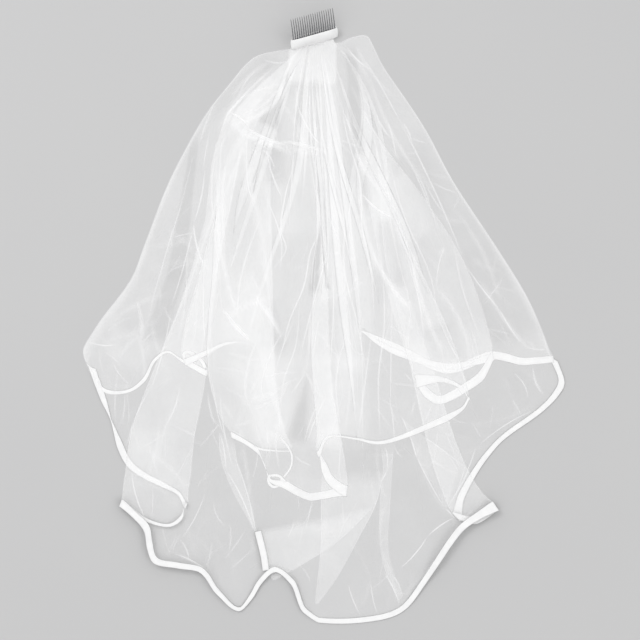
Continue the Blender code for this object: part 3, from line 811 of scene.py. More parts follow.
def outward(hem, ray, square_share):
    """Unit directions out of the hem, square to it, or along the ray where it runs along it,
    and how far each goes for a millimetre square to the hem."""
    steps = np.linalg.norm(np.diff(hem.plan, axis=0), axis=1)
    places = np.concatenate([[0.0], np.cumsum(np.maximum(steps, 0.5))])
    along = unit(np.gradient(hem.plan, places, axis=0))
    square = np.stack([along[:, 1], -along[:, 0]], axis=1)
    facing = (square * ray).sum(1)[:, None]
    blend = square_share * square * facing + (1 - square_share) * ray
    directions = unit(averaged(blend, places, HEM_EASE))
    skew = np.abs((directions * square).sum(1))
    return directions, averaged(1 / np.maximum(skew, LEAST_FACING), places, HEM_EASE / 2)[:, None]


def side_lines(edge, start, ray_steps):
    """Points down a doubled side edge, by share of its length."""
    knots = np.array([start, *edge], float)
    line = smooth_run(knots, [4] * len(edge))
    lengths = np.linalg.norm(np.diff(line, axis=0), axis=1)
    share = np.concatenate([[0.0], np.cumsum(lengths) / lengths.sum()])
    return np.stack([np.interp(ray_steps, share, line[:, axis]) for axis in range(2)], axis=1)


def bezier(controls, v):
    """A quartic curve's point at v."""
    weights = (
        (1 - v) ** 4,
        4 * (1 - v) ** 3 * v,
        6 * (1 - v) ** 2 * v * v,
        4 * (1 - v) * v**3,
        v**4,
    )
    return sum(w * c for w, c in zip(weights, controls))


def eased(v, start, end):
    """A smooth step from 0 at start to 1 at end."""
    t = np.clip((v - start) / (end - start), 0.0, 1.0)
    return t * t * (3 - 2 * t)


def mixed(first, second, share):
    return first * (1 - share) + second * share


def rise_share(v):
    return RISE_AT_COMB + (1 - RISE_AT_COMB) * v**RISE_CURVE


def sheet_rows(folds, lift, seat, ray_steps):
    """A tier's points in rows from the comb to the hem, and the directions out of its hem.
    lift is its level over the surface, and seat its place in the band's mouth."""
    hem = hem_columns(folds)
    lengths = np.linalg.norm(np.diff(hem.plan, axis=0), axis=1)
    widths = EVEN_GATHER + np.sqrt(lengths * lengths.mean())
    share = np.concatenate([[0.0], np.cumsum(widths) / widths.sum()])
    gather = np.array([in_comb((s - 0.5) * GATHER_LENGTH, GATHER_MOUTH, seat) for s in share])
    start = gather[:, :2]
    reach = np.linalg.norm(hem.plan - start, axis=1)[:, None]
    ray = (hem.plan - start) / reach
    ends, _ = outward(hem, ray, RAY_SQUARE_SHARE)
    sideways = np.stack([-ray[:, 1], ray[:, 0]], axis=1)
    travel = np.sign((np.gradient(hem.plan, axis=0) * sideways).sum(1))
    for column in np.flatnonzero(hem.turn):
        travel[column] = travel[column - 2]
    leave = np.radians(
        np.interp(share, [row.share for row in LEAVES], [row.angle for row in LEAVES])
    )
    leaving = np.stack([np.sin(leave), -np.cos(leave)], axis=1)
    bowed = sideways * hem.bow[:, None]
    folded = (
        start,
        start + leaving * reach * LEAVE_REACH,
        (start + hem.plan) / 2 + bowed * BOW_AT_MIDDLE,
        hem.plan - ends * reach * ARRIVE_REACH + bowed,
        hem.plan,
    )
    slants = np.arctan2(ray[:, 0], -ray[:, 1])
    slant = slants[0] + (slants[-1] - slants[0]) * share
    spread = start + reach * np.stack([np.sin(slant), -np.cos(slant)], axis=1)
    fanned = (*folded[:2], (start + spread) / 2, (start + 3 * spread) / 4, spread)
    left = side_lines(LEFT_EDGE, start[0], ray_steps)
    right = side_lines(RIGHT_EDGE, start[-1], ray_steps)
    near_left = np.clip(1 - share / SIDE_BLEND, 0, 1)[:, None] ** 2
    near_right = np.clip(1 - (1 - share) / SIDE_BLEND, 0, 1)[:, None] ** 2
    gathered_rise = averaged(hem.rise, share, GATHER_EASE)
    hang = gather[:, 2] - (REST_LEVEL + lift + gathered_rise * RISE_AT_COMB)
    rows = []
    for v, left_point, right_point in zip(ray_steps, left, right):
        folding = eased(v, FAN_END, FOLDS_START)
        plan = mixed(bezier(fanned, v), bezier(folded, v), folding)
        plan = (
            plan
            + near_left * (left_point - plan[0])
            + near_right * (right_point - plan[-1])
            + sideways * (hem.bulge * travel * rise_share(v) * folding)[:, None]
        )
        rise = mixed(gathered_rise, hem.rise, eased(v, RISE_STARTS, RISE_PARTED))
        height = REST_LEVEL + lift + rise * rise_share(v)
        height = height + WAVE_RISE * hem.wave * v * v * (1 - v**6)
        height = height + hang * max(1 - v / GATHER_REACH, 0.0) ** GATHER_FALL
        rows.append(np.column_stack([plan, height]))
    arriving = unit(hem.plan - rows[-2][:, :2])
    out, length = outward(hem, arriving, RIBBON_SQUARE_SHARE)
    return np.array(rows), out * length


def between_columns(grid, places):
    """Points of a grid at places between its columns, on centripetal curves through each row."""
    first = 2 * grid[:, :1] - grid[:, 1:2]
    last = 2 * grid[:, -1:] - grid[:, -2:-1]
    padded = np.concatenate([first, grid, last], axis=1)
    chords = np.linalg.norm(np.diff(padded, axis=1), axis=2)
    knots = np.concatenate(
        [np.zeros((len(grid), 1)), np.cumsum(np.sqrt(np.maximum(chords, 0.05)), axis=1)], axis=1
    )
    i = np.clip(np.floor(places).astype(int), 0, grid.shape[1] - 2)
    row = np.arange(len(grid))[:, None]
    p = [padded[row, i + k] for k in range(4)]
    t = [knots[row, i + k][:, :, None] for k in range(4)]
    at = t[1] + (t[2] - t[1]) * (places - i)[:, :, None]
    a = [mixed(p[k], p[k + 1], (at - t[k]) / (t[k + 1] - t[k])) for k in range(3)]
    b = [mixed(a[k], a[k + 1], (at - t[k]) / (t[k + 2] - t[k])) for k in range(2)]
    return mixed(b[0], b[1], (at - t[1]) / (t[2] - t[1]))


def fine_columns(plan):
    """Places between a hem's columns, close enough to draw its curves."""
    lengths = np.linalg.norm(np.diff(plan, axis=0), axis=1)
    places = [np.zeros(1)]
    for column, length in enumerate(lengths):
        count = max(2, math.ceil(length / FINE_STEP))
        places.append(column + np.arange(1, count + 1) / count)
    return np.concatenate(places)


Pleat = namedtuple("Pleat", "column reach width start end")


def gathered_pleats(hem, seed):
    """Uneven pleats that run down from the comb, clear of the hem's own folds."""
    draw = np.random.default_rng(seed)
    turns = np.flatnonzero(hem.turn)
    last = len(hem.plan) - 1
    column = last * PLEATED_SHARE[0]
    pleats = []
    while column < last * PLEATED_SHARE[1]:
        reach = draw.uniform(*PLEAT_REACH)
        width = draw.uniform(*PLEAT_WIDTH)
        start = draw.uniform(0.0, 0.1)
        end = draw.uniform(*PLEAT_END)
        middle = column + reach
        if not np.any(np.abs(turns - middle) < reach + 0.6):
            pleats.append(Pleat(middle, reach, width, start, end))
            column = middle + reach + draw.uniform(0.0, PLEAT_APART)
        else:
            column += 0.5
    return pleats


def pleated(coarse, places, steps, pleats):
    """The grid at its fine columns with the pleats folded in, and how dense their edges are.
    A pleat runs on to its far edge, back under itself and on again, three layers deep."""
    for pleat in pleats:
        near = np.abs(places - pleat.column) < pleat.reach
        own = pleat.column + pleat.reach * np.array(PLEAT_COLUMNS)
        places = np.sort(np.concatenate([places[~near], own]))
    shifted = np.repeat(places[None], len(steps), axis=0)
    lift = np.zeros_like(shifted)
    glow = np.zeros_like(shifted)
    for pleat in pleats:
        t = (places - pleat.column) / pleat.reach
        fold = np.interp(t, (-1, -1 / 3, 1 / 3, 1), (0, 1, -1, 0))
        stack = np.interp(t, (-1 / 3, 1 / 3, 1), (0, 1, 0))
        edge = np.maximum(1 - np.abs(np.abs(t) - 1 / 3) / PLEAT_EDGE, 0.0)
        i = int(pleat.column)
        pace = np.linalg.norm(coarse[:, i + 1] - coarse[:, i], axis=1)
        there = eased(steps, pleat.start, pleat.start + 0.08)
        there = there * (1 - eased(steps, pleat.end - 0.35, pleat.end))
        spread = np.minimum(pleat.width / 2 / np.maximum(pace, 0.05), 0.9 * pleat.reach)
        run_on = there * (spread + pleat.reach / 3)
        doubled = np.clip(2 * (run_on - pleat.reach / 3) * pace / PLEAT_FLAT, 0, 1)
        shifted += run_on[:, None] * fold
        lift += doubled[:, None] * PLEAT_STACK * stack
        glow += doubled[:, None] * PLEAT_GLOW * edge
    grid = between_columns(coarse, shifted)
    grid[:, :, 2] += lift
    return grid, glow, places


def ridge_relief(x, y):
    """The fine folds from the gathers, in millimetres: the same for each layer, so they nest."""
    draw = np.random.default_rng(RIDGE_SEED)
    dx, dy = x - BAND_CENTRE[0], BAND_CENTRE[1] - 8 - y
    radius = np.hypot(dx, dy)
    angle = np.arctan2(dx, dy)
    relief = np.zeros_like(x)
    for ridge in range(GATHER_RIDGES):
        way = math.radians(-46 + 92 * (ridge + draw.uniform(0.2, 0.8)) / GATHER_RIDGES)
        drift = math.radians(draw.uniform(-5, 5))
        height = draw.uniform(*RIDGE_HEIGHT)
        width = draw.uniform(*RIDGE_WIDTH)
        end = draw.uniform(*RIDGE_END)
        begin = draw.uniform(0, 40)
        lane = (angle - way - drift * radius / 500) * radius
        broad = width * (1 + radius / 220)
        fade = eased(radius, begin, begin + 40) * (1 - eased(radius, end * 0.45, end))
        relief += height * fade * np.exp(-((lane / broad) ** 2))
    return relief


def crease_relief(x, y):
    """The creases' height in millimetres, and how much denser they make the net."""
    relief = np.zeros_like(x)
    glow = np.zeros_like(x)
    for crease in CREASES:
        start = np.array([crease.x0, crease.y0], float)
        end = np.array([crease.x1, crease.y1], float)
        span = end - start
        length = np.linalg.norm(span)
        way = span / length
        side = np.array([-way[1], way[0]])
        across = x - start[0], y - start[1]
        t = (across[0] * way[0] + across[1] * way[1]) / length
        offset = across[0] * side[0] + across[1] * side[1] - crease.bow * 4 * t * (1 - t)
        taper = np.sqrt(np.clip(4 * t * (1 - t), 0, 1))
        near = np.exp(-((offset / crease.width) ** 2)) * taper
        relief += crease.rise * near
        line = np.exp(-((offset / (CREASE_LINE * crease.width)) ** 2))
        glow += CREASE_GLOW * crease.glow * line * taper
    return relief, glow


def bunched(x, y):
    """How many layers the bunches add at a place."""
    layers = np.zeros_like(x)
    for bunch in BUNCHES:
        start = np.array([bunch.x0, bunch.y0], float)
        span = np.array([bunch.x1, bunch.y1], float) - start
        length = np.linalg.norm(span)
        way = span / length
        t = ((x - start[0]) * way[0] + (y - start[1]) * way[1]) / length
        offset = np.abs((x - start[0]) * way[1] - (y - start[1]) * way[0])
        half = mixed(bunch.half0, bunch.half1, np.clip(t, 0, 1))
        sides = 1 - eased(offset, half - bunch.soft, half + bunch.soft)
        ends = eased(t, -0.12, 0.08) * (1 - eased(t, 0.92, 1.12))
        layers += bunch.layers * sides * ends
    return np.maximum(layers, -0.75)


def on_plan(px, py):
    """A place on the photograph, in plan millimetres."""
    return (px - PHOTO_MIDDLE[0]) * PHOTO_MM, (PHOTO_MIDDLE[1] - py) * PHOTO_MM


def swayed(grid, steps, seed):
    """The grid with its lines wandering a little, but not at the comb, hem or side edges."""
    draw = np.random.default_rng(seed + 100)
    across = np.linspace(0.0, 1.0, grid.shape[1])[None]
    down = steps[:, None]
    window = np.sin(math.pi * down) * np.sin(math.pi * across) ** 0.5
    for _ in range(SWAY_WAVES):
        turns = draw.uniform(1.5, 8.0) * across + draw.uniform(-2.2, 2.2) * down
        grid[:, :, 0] += SWAY * window * np.sin(2 * math.pi * (turns + draw.uniform()))
    return grid


def nudged(grid, steps, nudges):
    """The grid with the lines of some folds moved over."""
    columns = np.arange(grid.shape[1])
    for nudge in nudges:
        near = np.exp(-(((columns - nudge.column) / nudge.columns) ** 2))
        moves = np.interp(steps, np.linspace(0, 1, len(nudge.moves)), nudge.moves)
        grid[:, :, 0] += moves[:, None] * near
    return grid


def to_world(points):
    """Plan millimetres to metres about the object's own origin."""
    shifted = points - np.array([ORIGIN[0], ORIGIN[1], 0.0])
    return shifted * MM


def put_in(name, data):
    """A new object in the scene."""
    ob = bpy.data.objects.new(name, data)
    bpy.context.scene.collection.objects.link(ob)
    return ob


def grid_faces(rows, columns, closed=False):
    faces = []
    for r in range(rows - 1):
        for c in range(columns if closed else columns - 1):
            d = (c + 1) % columns
            here, below = r * columns, (r + 1) * columns
            faces.append((here + c, below + c, below + d, here + d))
    return faces


def grids_object(name, grids, material, closed=False):
    """One smooth mesh over several grids of plan points."""
    mesh = bpy.data.meshes.new(name)
    points = [to_world(grid.reshape(-1, 3)) for grid in grids]
    faces = []
    first = 0
    for grid in grids:
        faces += [
            tuple(first + corner for corner in face)
            for face in grid_faces(*grid.shape[:2], closed)
        ]
        first += grid.shape[0] * grid.shape[1]
    mesh.from_pydata(np.concatenate(points).tolist(), [], faces)
    mesh.shade_smooth()
    mesh.materials.append(material)
    return put_in(name, mesh)


def grid_object(name, grid, material, closed=False):
    return grids_object(name, [grid], material, closed)


def add_attribute(ob, name, values):
    layer = ob.data.attributes.new(name, "FLOAT", "POINT")
    layer.data.foreach_set("value", np.ascontiguousarray(values, dtype=np.float32).ravel())


def grid_normals(grid):
    down = np.gradient(grid, axis=0)
    along = np.gradient(grid, axis=1)
    normals = np.cross(down, along)
    return normals / np.maximum(np.linalg.norm(normals, axis=2)[:, :, None], 1e-9)


def claimed(piece, slot, *nodes):
    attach(piece, "root")
    if nodes:
        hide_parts(*nodes)
    return piece


class Socket:
    """A shader socket that takes part in arithmetic, adding Math nodes as it does."""

    def __init__(self, paint, socket):
        self.paint = paint
        self.socket = socket

    def _math(self, operation, *values):
        return self.paint.node("ShaderNodeMath", {"operation": operation}, dict(enumerate(values)))

    def __add__(self, other):
        return self._math("ADD", self, other)

    __radd__ = __add__

    def __sub__(self, other):
        return self._math("SUBTRACT", self, other)

    def __rsub__(self, other):
        return self._math("SUBTRACT", other, self)

    def __mul__(self, other):
        return self._math("MULTIPLY", self, other)

    __rmul__ = __mul__

    def __truediv__(self, other):
        return self._math("DIVIDE", self, other)

    def __pow__(self, other):
        return self._math("POWER", self, other)

    def __rpow__(self, other):
        return self._math("POWER", other, self)

    def sine(self):
        return self._math("SINE", self)

    def turned_from(self, other):
        return self._math("ARCTAN2", self, other)

    def clamped(self):
        return self._math("MAXIMUM", self._math("MINIMUM", self, 1.0), 0.0)

    def stepped(self, low, high):
        """0 under low and 1 over high, straight between them."""
        return ((self - low) / (high - low)).clamped()


class Paint:
    """A material's nodes, and the one method that adds them."""

    def __init__(self, name):
        self.material = bpy.data.materials.new(name)
        self.material.use_nodes = True
        self.tree = self.material.node_tree
        self.shader = self.tree.nodes["Principled BSDF"]

    def node(self, kind, settings=(), inputs=(), output=0):
        made = self.tree.nodes.new(kind)
        for key, value in dict(settings).items():
            setattr(made, key, value)
        for key, value in dict(inputs).items():
            self.feed(made.inputs[key], value)
        return Socket(self, made.outputs[output])

    def feed(self, entry, value):
        if isinstance(value, Socket):
            self.tree.links.new(value.socket, entry)
        else:
            entry.default_value = value

    def finish(self, **sockets):
        for name, value in sockets.items():
            self.feed(self.shader.inputs[name.replace("_", " ")], value)
        return self.material

    def place(self):
        """Where a point lies on the object, x, y and z in metres."""
        where = self.node("ShaderNodeTexCoord", output=3)
        parts = self.node("ShaderNodeSeparateXYZ", {}, {0: where}).socket.node
        return where, [Socket(self, part) for part in parts.outputs]

    def noise(self, where, scale, detail=2.0):
        return self.node(
            "ShaderNodeTexNoise", {}, {"Vector": where, "Scale": scale, "Detail": detail}
        )

    def bump(self, height, strength, distance, normal=None):
        inputs = {"Height": height, "Strength": strength, "Distance": distance}
        if normal is not None:
            inputs["Normal"] = normal
        return self.node("ShaderNodeBump", {}, inputs)

    def mostly_up(self, amount):
        """The surface's direction, leant so far towards straight up: thread takes light from
        all round it, so a steep fold in net is hardly darker than a flat part."""
        facing = self.node("ShaderNodeNewGeometry", output=1)
        raised = self.node(
            "ShaderNodeVectorMath", {"operation": "ADD"}, {0: facing, 1: (0.0, 0.0, amount)}
        )
        return self.node("ShaderNodeVectorMath", {"operation": "NORMALIZE"}, {0: raised})

    def steepness(self):
        """0 where the surface lies level and 1 where it stands upright."""
        facing = self.node("ShaderNodeNewGeometry", output=3)
        up = self.node(
            "ShaderNodeVectorMath",
            {"operation": "DOT_PRODUCT"},
            {0: facing, 1: (0.0, 0.0, 1.0)},
            output=1,
        )
        return 1 - (up * up) ** 0.5

    def tinted(self, amount, first, second):
        """A colour between two, by amount."""
        colours = {0: amount, 6: (*first, 1.0), 7: (*second, 1.0)}
        return self.node("ShaderNodeMix", {"data_type": "RGBA"}, colours, output=2)


# Net
NET_CELL = 0.0013
NET_COVER = 0.2
NET_LINE = 0.18
NET_EVENNESS = 6.0
SATIN_EVENNESS = 1.4
CRUMPLE_LANES = 16.0
CRUMPLE_RUNS = 12.0
CRUMPLE_LINE = 0.022
NET_TONE_SCALE = 20.0
NET_TONE = 0.34
# How brightly the net's steep faces glow: painted light that makes up the light they lose
NET_STEEP_GLOW = 0.4


def white_net():
    """Sheer net: a fine mesh of six-sided openings, denser in its creases and fold edges, with painted
    light glowing from its steep faces.
    """
    paint = Paint("white_net")
    where, (x, y, _) = paint.place()
    turn = 2 * math.pi / NET_CELL
    waves = [
        (x * math.cos(a) * turn + y * math.sin(a) * turn + 1.5).sine()
        for a in (0.0, math.pi / 3, 2 * math.pi / 3)
    ]
    mesh = (waves[0] + waves[1] + waves[2]) * NET_LINE + 1.0
    density = paint.node("ShaderNodeAttribute", {"attribute_name": "layering"}, output=2)
    right = x - (BAND_CENTRE[0] - ORIGIN[0]) * MM
    down = (BAND_CENTRE[1] - ORIGIN[1]) * MM - y
    radius = (right * right + down * down) ** 0.5
    angle = right.turned_from(down)
    fan = paint.node(
        "ShaderNodeCombineXYZ", {}, {"X": angle * CRUMPLE_LANES, "Y": radius * CRUMPLE_RUNS}
    )
    crumple = paint.node(
        "ShaderNodeTexVoronoi",
        {"feature": "DISTANCE_TO_EDGE"},
        {"Vector": fan, "Scale": 1.0, "Randomness": 1.0},
    )
    patches = paint.noise(where, 14.0, 2.0).stepped(0.46, 0.64)
    lines = (1 - crumple.stepped(0.0, CRUMPLE_LINE)) * patches
    blotches = paint.noise(where, NET_TONE_SCALE, 3.0).stepped(0.3, 0.7)
    tone = blotches * NET_TONE + (1 - NET_TONE / 2)
    thick = (density * tone + lines * 0.6) * mesh
    alpha = 1 - (1 - NET_COVER) ** thick
    soft = paint.noise(where, 60.0, 3.0)
    # Painted light: the steeper a face, the more it glows white, to make up the light it loses
    painted_steep_glow = paint.steepness() * NET_STEEP_GLOW
    return paint.finish(
        Emission_Color=paint.tinted(painted_steep_glow, (0.0, 0.0, 0.0), (1.0, 1.0, 1.0)),
        Emission_Strength=1.0,
        Base_Color=paint.tinted(soft.stepped(0.3, 0.7), (0.91, 0.912, 0.92), (0.95, 0.95, 0.952)),
        Roughness=0.62 - lines * 0.1,
        Alpha=alpha.clamped(),
        Normal=paint.bump(lines + soft * 0.3, 0.25, 0.0006, paint.mostly_up(NET_EVENNESS)),
    )


def white_satin():
    """Satin: a close weave with a soft sheen and a little unevenness."""
    paint = Paint("white_satin")
    where, (x, y, z) = paint.place()
    turn = 2 * math.pi / 0.0005
    weave = ((x + y) * turn).sine() * ((x - y) * turn).sine()
    cloudy = paint.noise(where, 90.0, 3.0)
    return paint.finish(
        Base_Color=paint.tinted(cloudy.stepped(0.3, 0.7), (0.9, 0.9, 0.905), (0.96, 0.96, 0.96)),
        Roughness=0.3 + cloudy * 0.14,
        Sheen_Weight=0.25,
        Normal=paint.bump(weave * 0.2 + cloudy, 0.3, 0.0004, paint.mostly_up(SATIN_EVENNESS)),
    )


def white_thread():
    paint = Paint("white_thread")
    where, _ = paint.place()
    twist = paint.noise(where, 900.0, 2.0)
    return paint.finish(
        Base_Color=paint.tinted(twist, (0.8, 0.8, 0.81), (0.93, 0.93, 0.93)),
        Roughness=0.5 + twist * 0.2,
        Normal=paint.bump(twist, 0.4, 0.0002),
    )


def clear_plastic():
    """Clear moulded plastic, half see-through, with faint flow marks; its dark colour is painted shade,
    for the dark look clear plastic takes by refraction.
    """
    paint = Paint("clear_comb_plastic")
    where, _ = paint.place()
    flow = paint.noise(where, 160.0, 2.0)
    return paint.finish(
        # Painted shade: the colour is dark for the dark look clear plastic takes by refraction; the flow
        # marks vary it at random
        Base_Color=paint.tinted(flow, (0.08, 0.083, 0.09), (0.2, 0.2, 0.215)),
        Roughness=0.08 + flow * 0.1,
        IOR=1.49,
        Alpha=0.5 + flow * 0.3,
        Normal=paint.bump(flow, 0.15, 0.0003),
    )


def surface_tree(grid):
    """A tree that finds a height on a grid of plan points."""
    points = [Vector(point) for point in grid.reshape(-1, 3).tolist()]
    return BVHTree.FromPolygons(points, grid_faces(*grid.shape[:2]))


def height_on(tree, x, y, otherwise):
    """The height of the topmost cloth at a place."""
    hit, _, _, _ = tree.ray_cast(Vector((x, y, 500.0)), Vector((0.0, 0.0, -1.0)))
    return otherwise if hit is None else hit.z


def laid_over(tree, plan, above):
    """Plan points with heights just above the cloth."""
    grid = np.zeros((*plan.shape[:2], 3))
    for r in range(plan.shape[0]):
        last = REST_LEVEL
        for c in range(plan.shape[1]):
            last = height_on(tree, *plan[r, c], last)
            grid[r, c] = (*plan[r, c], last + above)
    return grid


def bowed_line(start, end, bow):
    """Points from start to end, with a bow to the left."""
    start, end = np.array(start, float), np.array(end, float)
    span = np.linalg.norm(end - start)
    t = np.linspace(0.0, 1.0, max(5, math.ceil(span / PINCH_STEP)))[:, None]
    way = (end - start) / span
    side = np.array([-way[1], way[0]])
    return start + (end - start) * t + side * bow * 4 * t * (1 - t)


def pinch_grid(tree, line, width, layers):
    """A narrow raised fold along a line: its points, and how many layers it shows at each."""
    way = unit(np.gradient(line, axis=0))
    side = np.column_stack([-way[:, 1], way[:, 0]])
    taper = np.sin(np.linspace(0.0, math.pi, len(line))) ** 0.5
    across = np.array([-0.5, -0.18, 0.18, 0.5])
    half = width * (0.25 + 0.75 * taper)
    plan = line[:, None] + side[:, None] * (across[None] * half[:, None])[:, :, None]
    grid = laid_over(tree, plan, PINCH_CLEAR)
    grid[:, 1:3, 2] += PINCH_RAISED * width * taper[:, None]
    return grid, np.array([0.0, 1.0, 1.0, 0.0]) * PINCH_LAYERS * layers * taper[:, None]


def small_pinches(draw):
    """Short pinches with no pattern, mostly down the cloth: line, width and layers."""
    for _ in range(SMALL_PINCHES):
        angle = math.radians(draw.uniform(-34, 30))
        radius = draw.uniform(*SMALL_PINCH_REACH)
        x = BAND_CENTRE[0] + radius * math.sin(angle)
        y = BAND_CENTRE[1] - radius * math.cos(angle)
        way = angle + math.radians(draw.normal(0, 32))
        half = draw.uniform(*SMALL_PINCH_LENGTH) / 2
        dx, dy = math.sin(way) * half, -math.cos(way) * half
        line = bowed_line((x - dx, y - dy), (x + dx, y + dy), draw.uniform(-3, 3))
        yield line, draw.uniform(*SMALL_PINCH_WIDTH), draw.uniform(*SMALL_PINCH_LAYERS)


def all_pinches():
    for p in PINCHES:
        line = bowed_line(on_plan(p.px0, p.py0), on_plan(p.px1, p.py1), p.bow)
        yield line, PINCH_WIDER * p.width, PINCH_SOFTER * p.layers
    for strand in STRANDS:
        points = np.array([on_plan(*point) for point in strand.points], float)
        line = smooth_run(points, [8] * (len(points) - 1))
        yield line, STRAND_WIDER * strand.width, STRAND_SOFTER * strand.layers
    yield from small_pinches(np.random.default_rng(SMALL_PINCH_SEED))


def flap_grid(tree, flap):
    """A doubled part of the cloth between its two lines, with bright folded edges."""
    left, right = (
        smooth_run(np.array([on_plan(*point) for point in line], float), [8] * (len(line) - 1))
        for line in (flap.left, flap.right)
    )
    width = np.linalg.norm(right - left, axis=1).max()
    inner = np.linspace(0.0, 1.0, max(4, math.ceil(width / PINCH_STEP)))
    edge = FLAP_EDGE / width
    inner = inner[(inner > 2 * edge) & (inner < 1 - 2 * edge)]
    share = np.concatenate([[0.0, edge], inner, [1 - edge, 1.0]])
    plan = left[:, None] + (right - left)[:, None] * share[None, :, None]
    ends = np.clip(np.linspace(0, 1, len(left)) / FLAP_FADE, 0, 1)
    at_edge = (share < edge / 2) | (share > 1 - edge / 2)
    shown = flap.layers * ends[:, None] * np.where(at_edge, FLAP_EDGE_LAYERS, FLAP_LAYERS)
    return laid_over(tree, plan, FLAP_CLEAR), shown


def make_tier(folds, nudges, lift, seat, seed):
    """A tier drawn finely, with its pleats, the gathers' fine folds and the creases."""
    steps = np.linspace(0.0, 1.0, RAY_ROWS)
    hem = hem_columns(folds)
    coarse, out = sheet_rows(folds, lift, seat, steps)
    coarse = swayed(nudged(coarse, steps, nudges), steps, seed)
    pulled = coarse[-1, :, :2] - out * RIBBON_WIDTH * HEM_INTO_RIBBON
    reach = eased(steps, 0.9, 1.0)[:, None, None]
    coarse[:, :, :2] += (pulled - coarse[-1, :, :2])[None] * reach
    pleats = gathered_pleats(hem, seed)
    grid, edges, places = pleated(coarse, fine_columns(coarse[-1, :, :2]), steps, pleats)
    x, y = grid[:, :, 0], grid[:, :, 1]
    crease, glow = crease_relief(x, y)
    ridges = ridge_relief(x, y)
    fade = eased(steps, 0.0, 0.05)[:, None]
    grid[:, :, 2] += (ridges + crease) * fade
    slope = np.abs(grid_normals(grid)[:, :, 2])
    turns = np.flatnonzero(hem.turn[:-1] & hem.turn[1:]) + 0.5
    nearest = np.abs(places[:, None] - turns[None]).min(1)
    density = np.clip(1 / np.maximum(slope, 0.3), 1, 2.4) + glow + edges + bunched(x, y)
    density += TURN_GLOW * np.exp(-((nearest / 0.6) ** 2)) * eased(steps, 0.1, 0.4)[:, None]
    from_side = np.minimum(places, places[-1] - places)
    density += SIDE_GLOW * np.exp(-((from_side / 0.3) ** 2))
    draw = np.random.default_rng(seed)
    knots = np.arange(0, places[-1] + 1, STREAK_STEP)
    streaks = np.interp(places, knots, draw.normal(0, 1, len(knots)))
    density *= 1 + STREAK_DEPTH * streaks * (1 - eased(steps, 0.35, 0.9))[:, None]
    return grid, np.maximum(density, 0.25)


def make_net_piece(name, grids, material):
    """A tier and the parts folded into it, each grid with how many layers it shows."""
    piece = grids_object(name, [grid for grid, _ in grids], material)
    add_attribute(piece, "layering", np.concatenate([shown.ravel() for _, shown in grids]))
    # Thread this fine passes nearly all its light on, so the cloth dims nothing under it
    piece.visible_shadow = False
    piece.visible_diffuse = False
    return piece


def make_tiers(material):
    """Both tiers, each with the pinches and flaps that lie on it."""
    lower = make_tier(LOWER_HEM, LOWER_NUDGES, 0.0, LOWER_SEAT, LOWER_PLEAT_SEED)
    upper = make_tier(UPPER_HEM, UPPER_NUDGES, TIER_LIFT, UPPER_SEAT, UPPER_PLEAT_SEED)
    trees = [surface_tree(lower[0]), surface_tree(upper[0])]
    on_lower, on_upper = [lower], [upper]
    for line, width, layers in all_pinches():
        covered = [all(height_on(tree, *p, None) is not None for p in line) for tree in trees]
        if covered[1]:
            on_upper.append(pinch_grid(trees[1], line, width, layers))
        elif covered[0]:
            on_lower.append(pinch_grid(trees[0], line, width, layers))
    for flap in FLAPS:
        on_lower.append(flap_grid(trees[0], flap))
    pieces = (
        make_net_piece("lower_tier_net", on_lower, material),
        make_net_piece("upper_tier_net", on_upper, material),
    )
    return pieces, trees


def ribbon_grid(folds, rolls, lift, seat):
    """The ribbon's flat closed section carried along the hem, narrower where it is turned
    under."""
    coarse, out = sheet_rows(folds, lift, seat, np.linspace(0.0, 1.0, RAY_ROWS))
    hem = coarse[-1]
    roll = np.radians(rolled(folds, rolls))[:, None]
    lying = np.column_stack([out * RIBBON_WIDTH / 2, np.zeros(len(out))])
    crease, _ = crease_relief(hem[:, 0], hem[:, 1])
    raised = ridge_relief(hem[:, 0], hem[:, 1]) + crease
    hem = hem + np.column_stack([np.zeros((len(hem), 2)), raised])
    spread = lying * np.cos(roll)
    face = np.array([0.0, 0.0, RIBBON_HALF_THICKNESS])
    section = []
    for around in range(RIBBON_SIDES):
        angle = 2 * math.pi * around / RIBBON_SIDES
        across = math.copysign(abs(math.cos(angle)) ** RIBBON_SQUARENESS, math.cos(angle))
        section.append(hem + spread * across + face * math.sin(angle) + (0, 0, RIBBON_CLEAR))
    section = np.array(section)
    places = fine_columns(hem[:, :2])
    return between_columns(section, np.repeat(places[None], RIBBON_SIDES, axis=0))


def rolled(folds, rolls):
    """How far the ribbon is turned under at each of the hem's columns, in degrees."""
    angles = []
    first = 0
    for run in stretches(folds):
        mine = rolls[first : first + len(run)]
        steps = [column_count(*pair) for pair in zip(run, run[1:])]
        places = np.concatenate([[0], np.cumsum(steps)])
        angles += np.interp(np.arange(places[-1] + 1), places, mine).tolist()
        if run[-1].step:
            angles += [mine[-1]] * len(BEND_ANGLES)
        first += len(run) - 1
    return np.array(angles, float)


def turn_grid(tree, turn):
    """A loose turn of the satin edge, a flat tube along its points."""
    points = np.array([on_plan(*point) for point in turn.points], float)
    line = smooth_run(points, [6] * (len(points) - 1))
    way = unit(np.gradient(line, axis=0))
    side = np.column_stack([-way[:, 1], way[:, 0]])
    rings = []
    for place, across in zip(line, side):
        level = height_on(tree, *place, REST_LEVEL) + TURN_CLEAR
        rings.append(
            [
                (
                    *(place + across * turn.width / 2 * math.cos(angle)),
                    level + RIBBON_HALF_THICKNESS * math.sin(angle),
                )
                for angle in np.linspace(0, 2 * math.pi, RIBBON_SIDES, endpoint=False)
            ]
        )
    return np.array(rings)


def make_ribbon(name, folds, rolls, lift, seat, turns, material):
    grid = ribbon_grid(folds, rolls, lift, seat)
    around = np.swapaxes(grid, 0, 1)
    piece = grids_object(name, [around, *turns], material, closed=True)
    close_ends(piece)
    return piece


